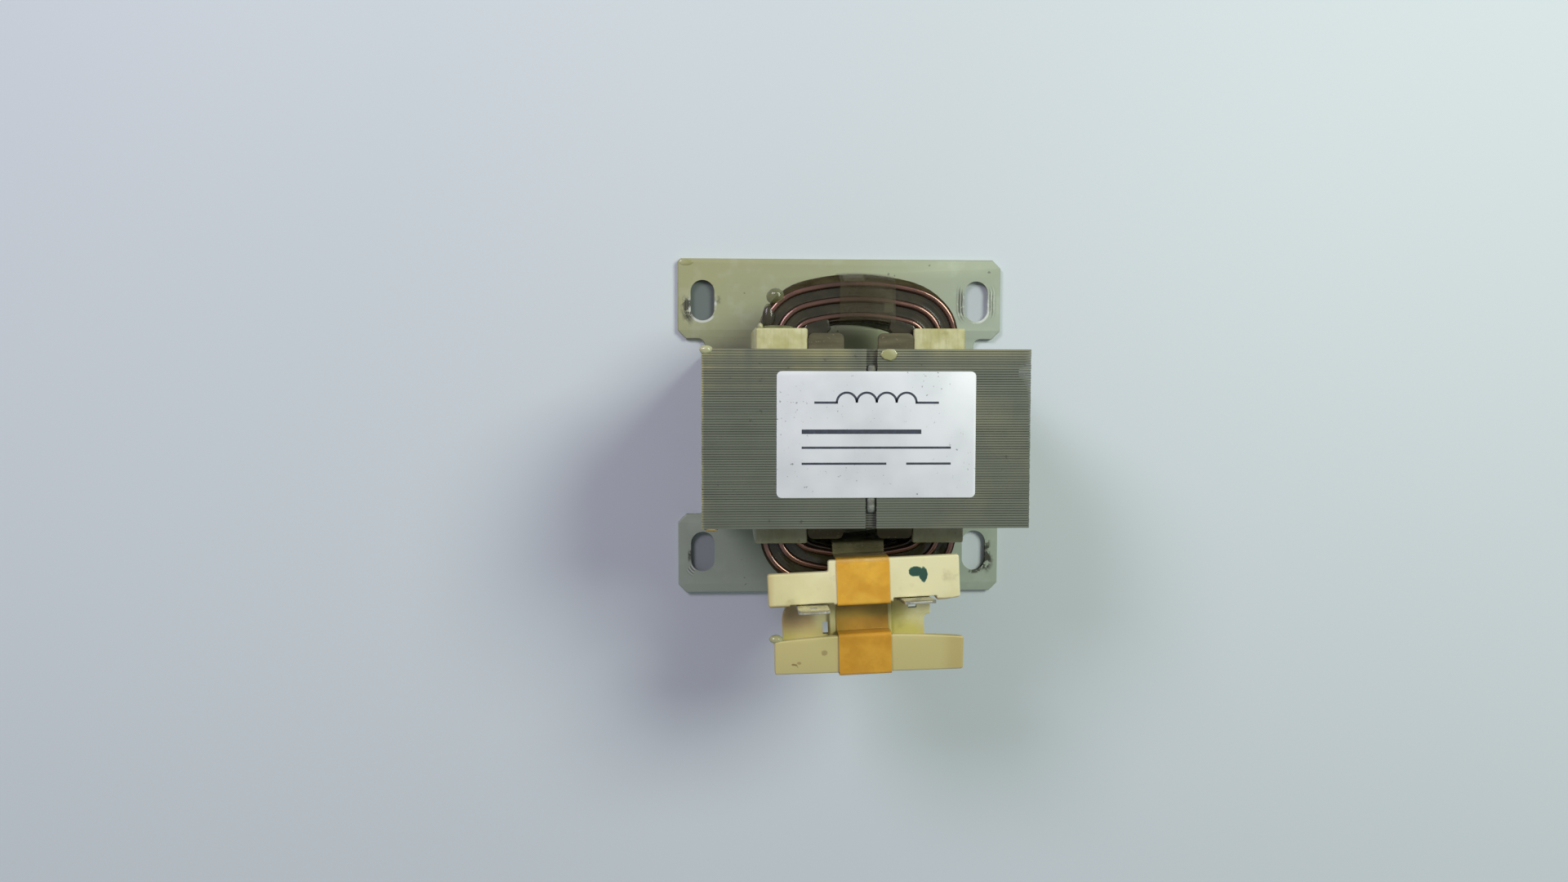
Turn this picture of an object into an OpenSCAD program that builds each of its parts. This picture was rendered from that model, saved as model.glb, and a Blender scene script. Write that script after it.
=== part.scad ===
// Iron-core choke: a welded stack of E and I sheets on a slotted base plate, with one
// layer-wound coil on the centre leg and a moulded holder with two blade terminals.
// Millimetres, +Z up. The origin is the centre of the base plate's underside.

/* [Core] */
// Width of the centre leg, which carries the winding
centre_leg_w = 22; // [18:0.5:28]
// Width of each outer leg
outer_leg_w = 11; // [8:0.5:15]
// Width of each winding window
window_w = 11; // [9:0.5:16]
// Height of the windows in the E sheets
window_h = 33; // [26:0.5:42]
// Height of the yoke that joins the three legs
yoke_h = 11; // [8:0.5:15]
// Height of the I bar that closes the core
i_bar_h = 11; // [8:0.5:15]
// Thickness of one sheet with its insulating film
sheet_t = 0.5; // [0.4:0.05:0.6]
// Number of sheets in the stack
sheet_count = 72; // [60:1:84]
// Width of the line between two sheets at their edges
sheet_line_w = 0.08; // [0.05:0.01:0.12]
// Depth of that line
sheet_line_d = 0.1; // [0.06:0.01:0.15]
// Thickness of the air-gap spacers between the legs and the I bar
gap_t = 1; // [0.5:0.1:2]
// How far the centre spacer stands out of each end of the stack
spacer_over = 3.5; // [2.5:0.1:4.5]
// Width of the notch in each end of the centre spacer
spacer_notch_w = 7.1; // [5:0.1:9]
// Corner radius of the centre spacer's tongues
spacer_r = 1.2; // [0.6:0.1:1.6]

/* [Welds] */
// Distance of the top weld from the core's middle plane
weld_x = 0.9; // [-2:0.1:2]
// Width of the groove that holds the top weld
weld_groove_w = 2.2; // [1.6:0.1:3]
// Depth of that groove
weld_groove_d = 1.1; // [0.8:0.1:1.6]
// How far the weld beads stop short of the stack's ends
weld_short = 3; // [2:0.5:6]
// Depth of the grooves that hold the seam welds on the core's sides
seam_d = 1; // [0.6:0.1:1.4]
// How far the seam welds stand out of the core's sides
seam_crown = 0.15; // [0.1:0.05:0.3]

/* [Base plate] */
// Thickness of the base plate
plate_t = 1.5; // [1:0.1:2.5]
// How far the ears reach past the core's sides
ear_over = 6.5; // [5:0.1:10]
// Free length between the stack's end and the ears
ear_gap = 3.4; // [2.5:0.1:6]
// Length of the ears along the stack
ear_l = 19.4; // [18:0.1:26]
// Chamfer on the ears' corners
ear_chamfer = 2; // [1:0.1:3]
// Chamfer on the rear left ear's outer corner, which is cut nearly square
ear_chamfer_odd = 0.6; // [0.4:0.1:3]
// Fillet between the ears and the waist
waist_r = 1.6; // [0.8:0.1:2.4]
// Width of the mounting slots
slot_w = 6.4; // [4.5:0.1:7]
// Length of the mounting slots
slot_l = 10.4; // [8:0.1:12]
// Distance of the slots' centres outside the core's sides
slot_out = 0.5; // [0:0.1:1.5]
// Distance of the slots' centres from the ears' inner edges
slot_in = 9.3; // [9:0.1:10]

/* [Winding] */
// Diameter of the enamelled wire
wire_d = 1.5; // [1.2:0.05:1.8]
// Varnish between neighbouring turns and layers
wire_gap = 0.04; // [0.02:0.01:0.08]
// Extra space between the layers where they cross the ends of the core
end_spread = 0.36; // [0.2:0.02:0.8]
// How far the coil's straight sides run past the stack's ends
straight_over = 1.56; // [0.6:0.02:2.4]
// Bend radius of the innermost layer at its corners
corner_r = 3.2; // [2.5:0.05:4]
// Thickness of the slot insulation
liner_t = 0.4; // [0.2:0.05:0.6]
// Free space between the insulation and the outermost layer
slot_play = 0.8; // [0.5:0.05:1.2]
// Free space above and below the coil inside the windows
coil_play = 0.5; // [0.3:0.1:1]
// Thickness of the strips that close the windows under the I bar
strip_t = 1.3; // [0.8:0.1:1.8]
// How far strips and liners stand out of each end of the stack
strip_over = 4.5; // [3:0.1:5]
// Width of the binding tape at the rear of the coil
coil_tape_w = 11.7; // [8:0.1:14]
// Distance of that tape's middle from the core's middle plane
coil_tape_x = 1.6; // [-3:0.1:3]

/* [Terminal holder] */
// Angle by which the holder sits skewed on the coil, degrees
holder_skew = 2.5; // [-4:0.5:4]
// Distance of the holder's reference line from the core's middle plane
holder_x = 0.5; // [-2:0.1:2]
// How far the rear bar's front face lies inside the coil's front
holder_in = 0.3; // [0:0.1:1]
// Height of the bars
bar_h = 8; // [6.5:0.1:10]
// Reach of the rear bar to the left
bar_left = 19.9; // [17:0.1:22]
// Reach of the rear bar to the right
bar_right = 19.8; // [17:0.1:22]
// Depth of the rear bar
bar_d = 9.2; // [8:0.1:10]
// Depth of the step in the rear bar's back
bar_step_d = 2.3; // [1.5:0.1:3]
// Place of that step
bar_step_x = -7.4; // [-9:0.1:-6]
// Wall of the moulding
wall = 1.6; // [1.2:0.1:2]
// How far the bars' tops overhang their rear and end walls
lip = 1.4; // [0.8:0.1:1.6]
// Width of the valley between the bars
valley_w = 7.7; // [6:0.1:9]
// Distance of the front bar's middle from the holder's reference line
front_x = 0.6; // [-2:0.1:2]
// Length of the front bar
front_l = 39.4; // [34:0.1:42]
// Depth of the front bar at its ends
front_d = 7.1; // [6:0.1:8]
// Bow of the front bar's rear face
front_bow = 1; // [0.4:0.1:1.4]
// Angle of the front bar to the rear bar, degrees
front_skew = -1.2; // [-2.5:0.1:1.5]
// How far the front bar's top lies below the rear bar's top
front_drop = 0.8; // [0:0.1:2]
// Fall of the front bar's top towards the front
front_fall = 1.2; // [0.5:0.1:2.5]
// Thickness of the web in the valley
web_t = 2; // [1.5:0.1:2.5]
// Height of the rib in the middle of the web
rib_h = 1; // [0.5:0.1:1.5]
// Width of the tape that ties the holder to the coil
tape_w = 10.9; // [8:0.1:12]
// Distance of that tape's middle from the holder's reference line
tape_x = -0.25; // [-2:0.05:2]
// Thickness of both tapes
tape_t = 0.2; // [0.1:0.05:0.3]

/* [Terminals] */
// Width of the blades
blade_w = 6.35; // [4.8:0.05:6.35]
// Thickness of the blades
blade_t = 0.8; // [0.5:0.1:1]
// How far the blades stand above the rear bar
blade_over = 7.6; // [6:0.1:9]
// Hole in each blade
blade_hole_d = 1.8; // [1.4:0.1:2.2]
// Distance of that hole from the blade's tip
blade_hole_in = 4; // [3.5:0.1:4.5]
// Place of the left blade along the holder
blade_left_x = -11; // [-11.5:0.1:-10]
// Place of the right blade along the holder
blade_right_x = 10.4; // [10:0.1:11.5]
// How far the left blade's tip leans back
lean_left = 0.3; // [0:0.1:1]
// How far the right blade's tip leans back
lean_right = 1.4; // [0:0.1:1.5]
// Width of the tails under the web
tail_w = 4; // [3:0.1:4.6]
// Length of the tails under the web
tail_l = 8; // [6:0.1:10]
// Outer diameter of the sleeves on the leads
sleeve_d = 2.6; // [2.3:0.1:3]
// Bend radius of the leads
lead_bend_r = 3; // [2.5:0.1:3.5]

/* [Label] */
// Width of the label
label_w = 40; // [30:0.5:50]
// Length of the label along the stack
label_l = 25.3; // [18:0.1:28]
// Thickness of the label
label_t = 0.12; // [0.08:0.01:0.2]
// Corner radius of the label
label_r = 1; // [0.5:0.1:2]
// Distance of the label's centre from the core's middle plane
label_x = 1.9; // [-3:0.1:3]
// Distance of the label's centre from the stack's middle
label_y = 0.9; // [-2:0.1:2]

/* [Hidden] */
$fn = 48;

// Small clearances
slip = 0.1;
film = 0.05;
cut = 1;

// Core
stack = sheet_count * sheet_t;
core_w = centre_leg_w + 2 * window_w + 2 * outer_leg_w;
yoke_z = plate_t + yoke_h;
leg_z = yoke_z + window_h;
i_z = leg_z + gap_t;
core_z = i_z + i_bar_h;

// Base plate
ear_y = stack / 2 + ear_gap;
plate_w = core_w + 2 * ear_over;
slot_x = core_w / 2 + slot_out;
slot_y = ear_y + slot_in;

// Winding: layers are counted outwards from the centre leg
strip_z = i_z - slip - strip_t;
pitch = wire_d + wire_gap;
coil_z = yoke_z + liner_t + coil_play;
layers = floor((window_w - 2 * liner_t - slip - slot_play) / pitch);
turns = floor((strip_z - coil_play - coil_z) / pitch);
coil_h = turns * pitch;
coil_top = coil_z + coil_h;
// The outermost turns bulge a little into each other where the varnish fills the seams
turn_bulge = 1.06;
turn_r = turn_bulge * pitch / 2;
turn_shift = turn_r - wire_d / 2;
seam_fill = 0.2;
last = layers - 1;
// Corner and end arcs meet on a 7-24-25 line, which keeps every centre a short decimal
meet = [0.28, 0.96];
meet_reach = 100;
function layer_x(i) = centre_leg_w / 2 + liner_t + slip + pitch * (i + 0.5);
arc_step = round((layer_x(0) - corner_r) / meet[0] * 10) / 10;
function layer_r(i) = layer_x(i) - meet[0] * arc_step;
function layer_end_r(i) = layer_r(i) + arc_step;
function layer_straight(i) = stack / 2 + straight_over + i * end_spread;
function layer_end_y(i) = layer_straight(i) - meet[1] * arc_step;
function layer_apex(i) = layer_end_y(i) + layer_end_r(i);
coil_in_y = layer_apex(0) - wire_d / 2;
coil_out_y = layer_apex(last) + turn_shift + turn_r;

// Terminal holder, in its own frame: X along the rear bar's front face
holder_y = -(coil_out_y - holder_in);
holder_z = coil_top + slip;
holder_top = holder_z + bar_h;
web_z = holder_z + web_t;
front_at = [front_x, -valley_w - front_d / 2];
front_top = holder_top - front_drop;
front_bow_r = ((front_l / 2) ^ 2 + front_bow ^ 2) / (2 * front_bow);
rib_from = -7.2;
rib_to = 6;
// The rear bar's front face sweeps back at its right end
sweep_l = 4.4;
sweep_r = 24;
// The web has a rounded wing on the left, a stepped one on the right and two windows,
// which are given by their centres and sizes
wing_left = -17;
wing_right = 14.4;
wing_r = 4;
wing_step = [1.4, 4];
window_left = [-8, -5.9, 1.6, 3];
window_right = [10.6, -2.1, 2.2, 1.4];
web_reach = valley_w + lip + wall / 2;
// Slack of the tape at the corners it bridges, and its hang inside the coil
tape_slack = 0.2;
tape_hang = 0.8;

// Terminals and leads
// The blades' middle plane at the web, just in front of the rear bar's front face
blade_y = -0.3;
blade_tip = holder_top + blade_over;
blade_at = [blade_left_x, blade_right_x];
lean = [lean_left, lean_right];
// Pockets in the rear bar's front face, which the blades lean into and nearly touch at the top
pocket_w = 9;
function pocket_d(i) =
    blade_y + blade_t / 2 + lean[i] * (holder_top - web_z) / (blade_tip - web_z) + slip;
tip_chamfer = 1;
tip_bevel = 0.15;
tail_z = holder_z - tail_l;
lead_out = 2.2;
bare_lead = 1;
lead_y = blade_y - blade_t / 2 - film - wire_d / 2;
lead_low_z = coil_z - lead_bend_r - sleeve_d / 2;
lead_top_z = holder_z - film - slip;
solder_r = 1.5;
solder_l = 4;

// Shared shapes

module rounded(size, r) {
    translate([-size[0] / 2 + r, -size[1] / 2]) square([size[0] - 2 * r, size[1]]);
    translate([-size[0] / 2, -size[1] / 2 + r]) square([size[0], size[1] - 2 * r]);
    for (x = [-1, 1], y = [-1, 1])
        translate([x * (size[0] / 2 - r), y * (size[1] / 2 - r)]) circle(r);
}

// Extrudes a profile drawn in X and Z along the stack, centred on it
module along_stack(length) {
    translate([0, length / 2, 0]) rotate([90, 0, 0]) linear_extrude(length) children();
}

// Stacks sheets of one outline; a slightly smaller core leaves a line between two edges
module sheets(outline, inner) {
    for (k = [0 : sheet_count - 1])
        translate([0, (k + 0.5) * sheet_t - stack / 2, 0])
            along_stack(sheet_t - sheet_line_w) polygon(outline);
    along_stack(stack - sheet_t) polygon(inner);
}

// Closed loop of points moved outwards by d, for points that run anticlockwise
function unit(v) = v / norm(v);
function loop_out(p, d) = [
    for (i = [0 : len(p) - 1])
        let (
            before = unit(p[i] - p[(i + len(p) - 1) % len(p)]),
            after = unit(p[(i + 1) % len(p)] - p[i]),
            n = [before[1], -before[0]],
            m = [after[1], -after[0]]
        )
        p[i] + (n + m) * d / (1 + n * m)
];

// Base plate

// Right half of the outline, from front to rear, with its own chamfer on the first corner
function plate_half(first) =
    let (w = plate_w / 2, far = ear_y + ear_l, c = ear_chamfer)
    [
        [w - first, -far], [w, first - far], [w, -ear_y - c], [w - c, -ear_y], [core_w / 2, -ear_y],
        [core_w / 2, ear_y], [w - c, ear_y], [w, ear_y + c], [w, far - c], [w - c, far]
    ];

module slot() {
    straight = slot_l - slot_w;
    translate([-slot_w / 2, -straight / 2]) square([slot_w, straight]);
    for (s = [-1, 1]) translate([0, s * straight / 2]) circle(d = slot_w);
}

module base_plate() {
    color([0.66, 0.67, 0.6]) linear_extrude(plate_t) difference() {
        union() {
            polygon([for (p = plate_half(ear_chamfer)) p, for (p = plate_half(ear_chamfer_odd)) -p]);
            for (x = [0, 1], y = [0, 1]) mirror([x, 0]) mirror([0, y])
                translate([core_w / 2, ear_y]) difference() {
                    translate([-cut, -waist_r]) square([waist_r + cut, waist_r + cut]);
                    translate([waist_r, -waist_r]) circle(waist_r);
                }
        }
        for (x = [-1, 1], y = [-1, 1]) translate([x * slot_x, y * slot_y]) slot();
    }
}

// Core

function e_outline(g) =
    let (
        w = core_w / 2 - g,
        leg = core_w / 2 - outer_leg_w + g,
        c = centre_leg_w / 2 - g,
        low = plate_t + g,
        yoke = yoke_z - g,
        top = leg_z - g
    )
    [
        [-w + seam_d, low], [w - seam_d, low], [w, low + seam_d],
        [w, top - seam_d], [w - seam_d, top], [leg, top], [leg, yoke], [c, yoke], [c, top],
        [-c, top], [-c, yoke], [-leg, yoke], [-leg, top], [-w + seam_d, top],
        [-w, top - seam_d], [-w, low + seam_d]
    ];

function i_outline(g) =
    let (
        w = core_w / 2 - g,
        half = weld_groove_w / 2 + g,
        low = i_z + g,
        top = core_z - g,
        groove = core_z - weld_groove_d - g
    )
    [
        [-w + seam_d, low], [w - seam_d, low], [w, low + seam_d], [w, top],
        [weld_x + half, top], [weld_x + half, groove], [weld_x - half, groove],
        [weld_x - half, top], [-w, top], [-w, low + seam_d]
    ];

module e_core() {
    color([0.37, 0.38, 0.33]) sheets(e_outline(0), e_outline(sheet_line_d));
}

module i_core() {
    color([0.37, 0.38, 0.33]) sheets(i_outline(0), i_outline(sheet_line_d));
}

module gap_spacer_centre() {
    length = stack + 2 * spacer_over;
    color([0.41, 0.37, 0.31]) translate([0, 0, leg_z]) linear_extrude(gap_t) difference() {
        rounded([centre_leg_w, length], spacer_r);
        for (s = [-1, 1]) translate([-spacer_notch_w / 2, s * length / 2 - spacer_over])
            square([spacer_notch_w, 2 * spacer_over]);
    }
}

module outer_spacer(side) {
    width = outer_leg_w - seam_d;
    color([0.41, 0.37, 0.31])
        translate([side * (core_w / 2 - outer_leg_w + width / 2), 0, leg_z + gap_t / 2])
            cube([width, stack, gap_t], center = true);
}

module gap_spacer_left() { outer_spacer(-1); }
module gap_spacer_right() { outer_spacer(1); }

// Welds

// Bead in the top groove, with rounded ends
module top_weld() {
    r = weld_groove_w / 2 - film;
    length = stack - 2 * weld_short;
    color([0.45, 0.45, 0.42]) translate([weld_x, 0, core_z - weld_groove_d]) intersection() {
        union() {
            rotate([90, 0, 0]) cylinder(r = r, h = length - 2 * r, center = true);
            for (s = [-1, 1]) translate([0, s * (length / 2 - r), 0]) sphere(r);
        }
        translate([-r, -stack / 2, 0]) cube([2 * r, stack, weld_groove_d - film]);
    }
}

// Bead that fills a groove in the core's side and is slightly crowned; low and high are the
// groove's bottom, from which it opens downwards by down and upwards by the groove's depth
module side_seam(side, low, high, down) {
    half = (high - low + down + seam_d) / 2;
    r = (half ^ 2 + seam_crown ^ 2) / (2 * seam_crown);
    out = 2 * seam_d;
    color([0.45, 0.45, 0.42]) mirror([side < 0 ? 1 : 0, 0, 0]) translate([core_w / 2, 0, 0])
        along_stack(stack - 2 * weld_short) intersection() {
            polygon([
                [-seam_d, low], [out - seam_d, low - out * down / seam_d],
                [out - seam_d, high + out], [-seam_d, high]
            ]);
            translate([seam_crown - r, low - down + half]) circle(r, $fn = 96);
        }
}

module joint_weld_left() { side_seam(-1, leg_z, i_z, seam_d); }
module joint_weld_right() { side_seam(1, leg_z, i_z, seam_d); }
module base_weld_left() { side_seam(-1, plate_t, plate_t, 0); }
module base_weld_right() { side_seam(1, plate_t, plate_t, 0); }

// Winding

// Section of one layer: a wall as thick as the wire, with every turn showing on the outermost
module layer_section(i) {
    to = i == last ? seam_fill : wire_d / 2;
    translate([-wire_d / 2, coil_z + pitch / 2]) square([to + wire_d / 2, coil_h - pitch]);
    if (i == last) {
        for (k = [0 : turns - 1])
            translate([turn_shift, coil_z + (k + 0.5) * pitch]) circle(turn_r);
    } else {
        for (z = [coil_z + pitch / 2, coil_top - pitch / 2]) translate([0, z]) circle(d = wire_d);
    }
}

// Wedge between the two lines on which an end's arcs meet
module meet_wedge(at) {
    linear_extrude(core_z)
        polygon([at, at + meet_reach * meet, at + meet_reach * [-meet[0], meet[1]]]);
}

// One end of a layer: the end arc, two corner arcs and the last of the straight sides
module layer_end(i) {
    corner = [layer_x(i) - layer_r(i), layer_straight(i)];
    end = [0, layer_end_y(i)];
    intersection() {
        translate(end) rotate_extrude(angle = 180) translate([layer_end_r(i), 0]) layer_section(i);
        meet_wedge(end);
    }
    for (side = [0, 1]) mirror([side, 0, 0]) {
        difference() {
            translate(corner) rotate_extrude(angle = 90) translate([layer_r(i), 0]) layer_section(i);
            meet_wedge(corner);
        }
        if (i > 0) translate([layer_x(i), layer_straight(i), 0]) rotate([90, 0, 0])
            linear_extrude(i * end_spread) layer_section(i);
    }
}

// Straight side of all layers, baked together with varnish
module coil_side() {
    along_stack(2 * layer_straight(0)) {
        for (i = [0 : last]) translate([layer_x(i), 0]) layer_section(i);
        translate([layer_x(0), coil_z + pitch])
            square([layer_x(last) - layer_x(0), coil_h - 2 * pitch]);
    }
}

module winding() {
    color([0.36, 0.22, 0.14]) for (half = [0, 1]) {
        mirror([half, 0, 0]) coil_side();
        for (i = [0 : last]) mirror([0, half, 0]) layer_end(i);
    }
}

module liner(side) {
    half = stack / 2 + strip_over;
    color([0.88, 0.85, 0.68]) mirror([side < 0 ? 1 : 0, 0, 0])
        translate([centre_leg_w / 2, 0, yoke_z]) {
            translate([0, -half, 0]) cube([window_w, 2 * half, liner_t]);
            translate([window_w - liner_t, -half, 0]) cube([liner_t, 2 * half, strip_z - yoke_z]);
            translate([0, -stack / 2, 0]) cube([liner_t, stack, strip_z - yoke_z]);
        }
}

module slot_liner_left() { liner(-1); }
module slot_liner_right() { liner(1); }

module slot_strip(side) {
    color([0.88, 0.85, 0.68])
        translate([side * (centre_leg_w + window_w) / 2, 0, strip_z + strip_t / 2])
            cube([window_w - 2 * slip, stack + 2 * strip_over, strip_t], center = true);
}

module slot_strip_left() { slot_strip(-1); }
module slot_strip_right() { slot_strip(1); }

// Flat loop round the rear end turns, bent to the outer arc
module coil_tape() {
    centre_y = layer_end_y(last);
    inner = [coil_in_y - centre_y - slip, coil_z - turn_shift - film];
    outer = [coil_out_y - centre_y + film, coil_top + turn_shift + film];
    size = outer - inner;
    skin = [tape_t, tape_t];
    color([0.5, 0.36, 0.18]) intersection() {
        translate([0, centre_y, 0]) rotate([0, 0, 45]) rotate_extrude(angle = 90)
            difference() {
                translate(inner - skin) square(size + 2 * skin);
                translate(inner) square(size);
            }
        translate([coil_tape_x - coil_tape_w / 2, 0, 0])
            cube([coil_tape_w, coil_out_y + cut, core_z]);
    }
}

// Terminal holder

module at_holder() {
    translate([holder_x, holder_y, 0]) rotate([0, 0, holder_skew]) children();
}

// Outline of the rear bar, moved in by g at its back and ends and by f at its front
module rear_bar_plan(g, f) {
    difference() {
        union() {
            translate([-bar_left + g, f])
                square([bar_left + bar_right - 2 * g, bar_d - bar_step_d - g - f]);
            translate([bar_step_x + g, f]) square([bar_right - bar_step_x - 2 * g, bar_d - g - f]);
        }
        translate([bar_right - sweep_l, 0]) difference() {
            translate([0, -cut]) square([sweep_l + cut, cut + wall]);
            translate([0, sweep_r]) circle(sweep_r, $fn = 96);
        }
    }
}

// Outline of the front bar, moved in likewise; its rear face is an arc
module front_bar_plan(g, f) {
    translate(front_at) rotate(front_skew) intersection() {
        translate([-front_l / 2 + g, -front_d / 2 + f])
            square([front_l - 2 * g, front_d + 2 * front_bow]);
        translate([0, front_d / 2 + front_bow - front_bow_r]) circle(front_bow_r - g, $fn = 96);
    }
}

// Everything under the front bar's sloping top, lowered by g
module under_slope(g) {
    rear_y = -valley_w + front_bow + cut;
    front_y = -valley_w - front_d - cut;
    fall = front_fall / front_d;
    translate([-front_l, 0, 0]) rotate([90, 0, 90]) linear_extrude(2 * front_l) polygon([
        [rear_y, holder_z - cut], [rear_y, front_top - g + fall * (front_bow + cut)],
        [front_y, front_top - g - front_fall - fall * cut], [front_y, holder_z - cut]
    ]);
}

// Both bars are cored from below, and their tops overhang the walls
module front_bar() {
    difference() {
        intersection() {
            translate([0, 0, holder_z]) linear_extrude(bar_h) front_bar_plan(0, 0);
            under_slope(0);
        }
        difference() {
            intersection() {
                translate([0, 0, holder_z - cut]) linear_extrude(bar_h) front_bar_plan(-cut, -cut);
                under_slope(wall);
            }
            translate([0, 0, holder_z - 2 * cut]) linear_extrude(2 * bar_h) difference() {
                front_bar_plan(lip, 0);
                front_bar_plan(lip + wall, wall);
            }
        }
    }
}

module rear_bar() {
    translate([0, 0, holder_z]) {
        translate([0, 0, bar_h - wall]) linear_extrude(wall) rear_bar_plan(0, 0);
        linear_extrude(bar_h - wall / 2) difference() {
            rear_bar_plan(lip, 0);
            rear_bar_plan(lip + wall, wall);
        }
    }
}

module web_plan() {
    difference() {
        union() {
            translate([wing_left + wing_r, -web_reach])
                square([wing_right - wing_left - wing_r, web_reach + wall / 2]);
            translate([wing_left, -web_reach]) square([2 * wing_r, web_reach - wing_r]);
            translate([wing_left + wing_r, -wing_r]) circle(wing_r);
        }
        translate([wing_right - wing_step[0], -web_reach - cut])
            square([wing_step[0] + cut, web_reach + cut - wing_step[1] - wing_step[0]]);
        translate([wing_right, -wing_step[1] - wing_step[0]]) circle(wing_step[0]);
        for (w = [window_left, window_right])
            translate([w[0], w[1]]) square([w[2], w[3]], center = true);
    }
}

// Pocket for a blade and the slot for its tail
module blade_seat(i) {
    translate([blade_at[i], 0, 0]) {
        translate([-pocket_w / 2, -cut, web_z]) cube([pocket_w, pocket_d(i) + cut, bar_h]);
        translate([0, blade_y, web_z])
            cube([tail_w + 2 * slip, blade_t + 2 * film, 2 * bar_h], center = true);
    }
}

module terminal_block() {
    color([0.88, 0.85, 0.69]) at_holder() difference() {
        union() {
            rear_bar();
            front_bar();
            translate([0, 0, holder_z]) linear_extrude(web_t) web_plan();
            translate([rib_from, -web_reach, holder_z])
                cube([rib_to - rib_from, web_reach + wall / 2, web_t + rib_h]);
        }
        for (i = [0, 1]) blade_seat(i);
    }
}

// One strip round the holder and the front end turns, pressed into the valley
module terminal_tape() {
    rear_y = bar_d + film;
    inner_y = coil_out_y - holder_in - coil_in_y + tape_hang;
    outer_y = -holder_in - tape_slack;
    valley_z = web_z + rib_h + film;
    front_rear_y = -valley_w + front_bow + tape_slack;
    front_y = -valley_w - front_d - tape_slack;
    crest_z = front_top + front_fall * (front_bow + tape_slack) / front_d + film;
    loop = [
        [outer_y, coil_z - turn_shift - film], [inner_y, coil_z - turn_shift - film],
        [inner_y, coil_top + turn_shift + film], [rear_y, coil_top + turn_shift + film],
        [rear_y, holder_top + film], [-film, holder_top + film], [-film, valley_z],
        [front_rear_y, valley_z], [front_rear_y, crest_z], [front_y, front_top - front_fall + tape_slack],
        [front_y, holder_z - film]
    ];
    color([0.85, 0.62, 0.18]) at_holder()
        translate([tape_x - tape_w / 2, 0, 0]) rotate([90, 0, 90])
            linear_extrude(tape_w) difference() {
                polygon(loop_out(loop, tape_t));
                polygon(loop);
            }
}

// Terminals

// Blade with a chamfered tip and shoulders that seat on the web, and a narrower tail:
// its front outline and its leaning side outline, cut with each other
module tab(i) {
    w = blade_w / 2;
    t = tail_w / 2;
    far = blade_t + lean_right;
    rear = blade_t / 2;
    thin = rear - tip_bevel;
    neck_z = blade_tip - tip_chamfer;
    neck = lean[i] * (neck_z - web_z) / (blade_tip - web_z);
    color([0.78, 0.78, 0.74]) at_holder() translate([blade_at[i], blade_y, 0]) intersection() {
        translate([0, far, 0]) rotate([90, 0, 0]) linear_extrude(2 * far) difference() {
            polygon([
                [-t, tail_z], [t, tail_z], [t, web_z], [w, web_z],
                [w, blade_tip - tip_chamfer], [w - tip_chamfer, blade_tip],
                [-w + tip_chamfer, blade_tip], [-w, blade_tip - tip_chamfer], [-w, web_z], [-t, web_z]
            ]);
            translate([0, blade_tip - blade_hole_in]) circle(d = blade_hole_d);
        }
        translate([-blade_w, 0, 0]) rotate([90, 0, 90]) linear_extrude(2 * blade_w) polygon([
            [-rear, tail_z], [rear, tail_z], [rear, web_z], [neck + rear, neck_z],
            [lean[i] + thin, blade_tip], [lean[i] - thin, blade_tip], [neck - rear, neck_z], [-rear, web_z]
        ]);
    }
}

module tab_left() { tab(0); }
module tab_right() { tab(1); }

// Points of the leads in the holder's frame: under the coil, and beside the tail
function to_holder(p) =
    let (d = p - [holder_x, holder_y], c = cos(holder_skew), s = sin(holder_skew))
    [d[0] * c + d[1] * s, d[1] * c - d[0] * s];
function lead_from(i) = to_holder(i == 0
    ? [-layer_x(last) + layer_r(last) * (1 - cos(45)), -layer_straight(last) - layer_r(last) * sin(45)]
    : [layer_x(0) - layer_r(0), -layer_straight(0) - layer_r(0)]);
function lead_to(i) = [blade_at[i] + (i == 0 ? -lead_out : lead_out), lead_y];
function lead_length(i) = round(norm(lead_to(i) - lead_from(i)) * 100) / 100;

// Sets the X axis along the line from a lead's start to its end
module at_lead(i) {
    run = lead_to(i) - lead_from(i);
    at_holder() translate([lead_from(i)[0], lead_from(i)[1], 0])
        rotate([0, 0, atan2(run[1], run[0])]) children();
}

// Quarter bend in the XZ plane, from one quadrant's start
module bend(from) {
    rotate([90, 0, 0]) rotate([0, 0, from])
        rotate_extrude(angle = 90) translate([lead_bend_r, 0]) children();
}

// Level run under the coil, bend and rise to the tail
module lead_rise(length, top_z) {
    r = lead_bend_r;
    translate([r, 0, lead_low_z]) rotate([90, 0, 90]) linear_extrude(length - 2 * r) children();
    translate([length - r, 0, lead_low_z + r]) bend(270) children();
    translate([length, 0, lead_low_z + r]) linear_extrude(top_z - lead_low_z - r) children();
}

module lead(i) {
    length = lead_length(i);
    r = lead_bend_r;
    color([0.62, 0.36, 0.2]) at_lead(i) {
        lead_rise(length, lead_top_z) circle(d = wire_d);
        translate([r, 0, lead_low_z + r]) bend(180) circle(d = wire_d);
        translate([0, 0, lead_low_z + r])
            linear_extrude(coil_z - turn_shift - film - lead_low_z - r) circle(d = wire_d);
    }
}

module lead_left() { lead(0); }
module lead_right() { lead(1); }

module sleeve(i) {
    length = lead_length(i);
    color([0.75, 0.78, 0.35]) at_lead(i) lead_rise(length, tail_z - bare_lead) difference() {
        circle(d = sleeve_d);
        circle(d = wire_d + 2 * film);
    }
}

module sleeve_left() { sleeve(0); }
module sleeve_right() { sleeve(1); }

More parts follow.
